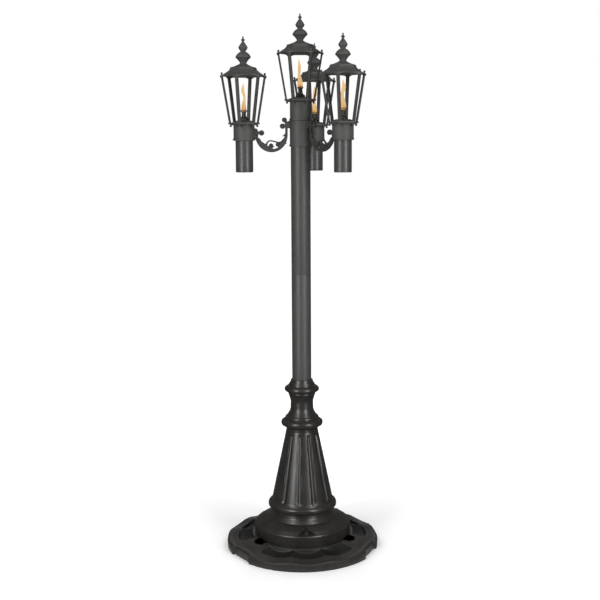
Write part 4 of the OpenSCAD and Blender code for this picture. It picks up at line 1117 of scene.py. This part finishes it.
burner_paint, tree, shader, stains = plated("burner_brass_and_flame_glow", 0.34, 0.6)
# Colours up the burner: dark paint, then brass brown, with a bright gold band painted as the flame's
# reflection
bands = colours_up(tree, (0.0, (0.040, 0.039, 0.038)), (0.81, (0.050, 0.046, 0.041)),
                   (0.86, (0.30, 0.19, 0.08)), (0.91, (0.62, 0.44, 0.20)), (0.96, (0.24, 0.13, 0.05)),
                   (1.0, (0.13, 0.065, 0.025)))
soot = ramp(tree, noise(tree, own_place(tree), 260.0), 0.45, 0.75)
feed(shader, Base_Color=tint(tree, bands, (0.035, 0.022, 0.012), soot * 0.5))
burner_outline = fillet(in_mm([
    (16.8, 8.4, 0), (18.9, 8.4, 0.8), (18.9, 11.4, 0.5), (18.2, 12, 0.4), (18.2, 14, 0.6),
    (17.4, 15.6, 1.2), (14.4, 17.2, 2), (11.2, 20, 3), (8.6, 25, 5), (8.0, 33, 2), (8.4, 38.5, 2),
    (11.2, 41.2, 1.5), (12.3, 43.2, 1.0), (12.3, 45.2, 1.0), (10.6, 47, 0.8), (5.6, 47, 0.3),
    (5.4, 14, 0), (16.6, 14, 0)]), steps=5)
burner_mesh = lathe("burner", burner_outline, segments=64)
mark_height(burner_mesh, 0.0, burner_top)
at_each_lantern("burner_cap", burner_mesh, burner_paint, "burner", crease=40,
                bodies="burner_")

# Wick: plaited glass-fibre rope, off-white where it is clean and charred at its end. It slides in
# the burner's tube and is pulled up as its end burns away.
rope_r = 4.95 * mm
rope, tree, shader = new_material("charred_wick_rope")
plait = add(tree, "ShaderNodeTexWave", bands_direction="DIAGONAL", Vector=own_place(tree), Scale=160.0,
            Distortion=2.0)["Fac"]
char = colours_up(tree, (0.0, (0.55, 0.52, 0.45)), (0.80, (0.50, 0.45, 0.36)), (0.93, (0.08, 0.06, 0.05)),
                  (1.0, (0.012, 0.010, 0.009)))
weave = add(tree, "ShaderNodeBump", Distance=0.5 * mm, Height=plait)
strands = tint(tree, char, (0.10, 0.09, 0.075), plait * 0.3)
feed(shader, Roughness=0.95, Base_Color=strands, Normal=weave["Normal"])
for side, centre in lantern_place.items():
    part = "wick_" + side
    low, high = heights(part)
    shape = [(0, low), (rope_r - 0.15 * mm, low), (rope_r, low + 0.5 * mm), (rope_r, high - 2.6 * mm),
             (4.4 * mm, high - 0.9 * mm), (2.8 * mm, high), (0, high - 0.4 * mm)]
    piece = link("wick_rope_" + side, lathe("wick", shape, segments=32))
    mark_height(piece.data, low, high)
    moved(piece, centre.x, centre.y)
    finished(piece, rope, part, part, crease=50)

# Flames: each burns from its wick as one wavering tongue, pale orange and lighter towards its
# tip. They give a little light of their own.
flame_low = burner_top + 0.3 * mm
flame_sides = 24
# Share of the height, half width in mm, and how far the tongue leans there for a bend of 1
flame_shape = [(0.0, 9.5, 0.0), (0.02, 11.2, 0.0), (0.08, 11.8, 0.0), (0.16, 11.0, 0.2), (0.26, 9.2, -0.4),
               (0.36, 7.6, -1.9), (0.45, 6.6, -3.3), (0.54, 7.2, -1.8), (0.63, 8.4, 1.2), (0.71, 8.8, 3.0),
               (0.79, 7.6, 3.0), (0.87, 5.2, 1.6), (0.94, 2.7, 0.4), (0.98, 1.2, 0.0), (1.0, 0.3, 0.0)]
# Height, width at the foot and at the tip, bend from side to side, lean of the tip, and phase
flame_kinds = {"top": (106, 0.90, 0.62, 0.4, -5.5, 0.0), "left": (101, 0.78, 0.62, -1.0, 0.0, 2.1),
               "right": (107, 1.0, 0.84, 1.0, 0.0, 0.0), "rear": (104, 0.92, 0.85, 0.8, 0.0, 4.0)}
flame_light, tree, shader = new_material("flame_light")
glow = colours_up(tree, (0.0, (0.50, 0.20, 0.04)), (0.08, (0.70, 0.40, 0.15)), (0.30, (0.74, 0.50, 0.25)),
                  (0.50, (0.72, 0.45, 0.22)), (0.75, (0.86, 0.52, 0.22)), (0.90, (0.84, 0.56, 0.28)),
                  (1.0, (0.86, 0.66, 0.42)))
licks = add(tree, "ShaderNodeMapping", Vector=own_place(tree), Scale=(1.0, 1.0, 0.35))["Vector"]
streaks = ramp(tree, noise(tree, licks, 150.0, 2.0), 0.4, 0.75)
feed(shader, Base_Color=(0, 0, 0), Roughness=1.0, Specular_IOR_Level=0.0, Emission_Strength=1.0,
     Emission_Color=tint(tree, glow, (0.93, 0.72, 0.44), streaks * 0.5))
for side, (height, foot_fat, tip_fat, bend, drift, phase) in flame_kinds.items():
    rings = []
    for share, half, lean_by in curve_through(flame_shape, 4):
        wave = (bend * lean_by + drift * share) * mm
        fat = foot_fat + (tip_fat - foot_fat) * share
        sway = 1.3 * mm * sin(5.0 * share + phase) * share
        level = flame_low + share * height * mm
        ring_points = []
        for a in turns(flame_sides):
            r = half * fat * mm * (1 + 0.05 * sin(2 * a + 6 * share + phase))
            ring_points.append((wave + r * cos(a), sway + r * 0.9 * sin(a), level))
        rings.append(ring_points)
    piece = link("flame_" + side, loft("flame", rings))
    mark_height(piece.data, flame_low, flame_low + height * mm)
    moved(piece, *lantern_place[side])
    finished(piece, flame_light, "wick_" + side)
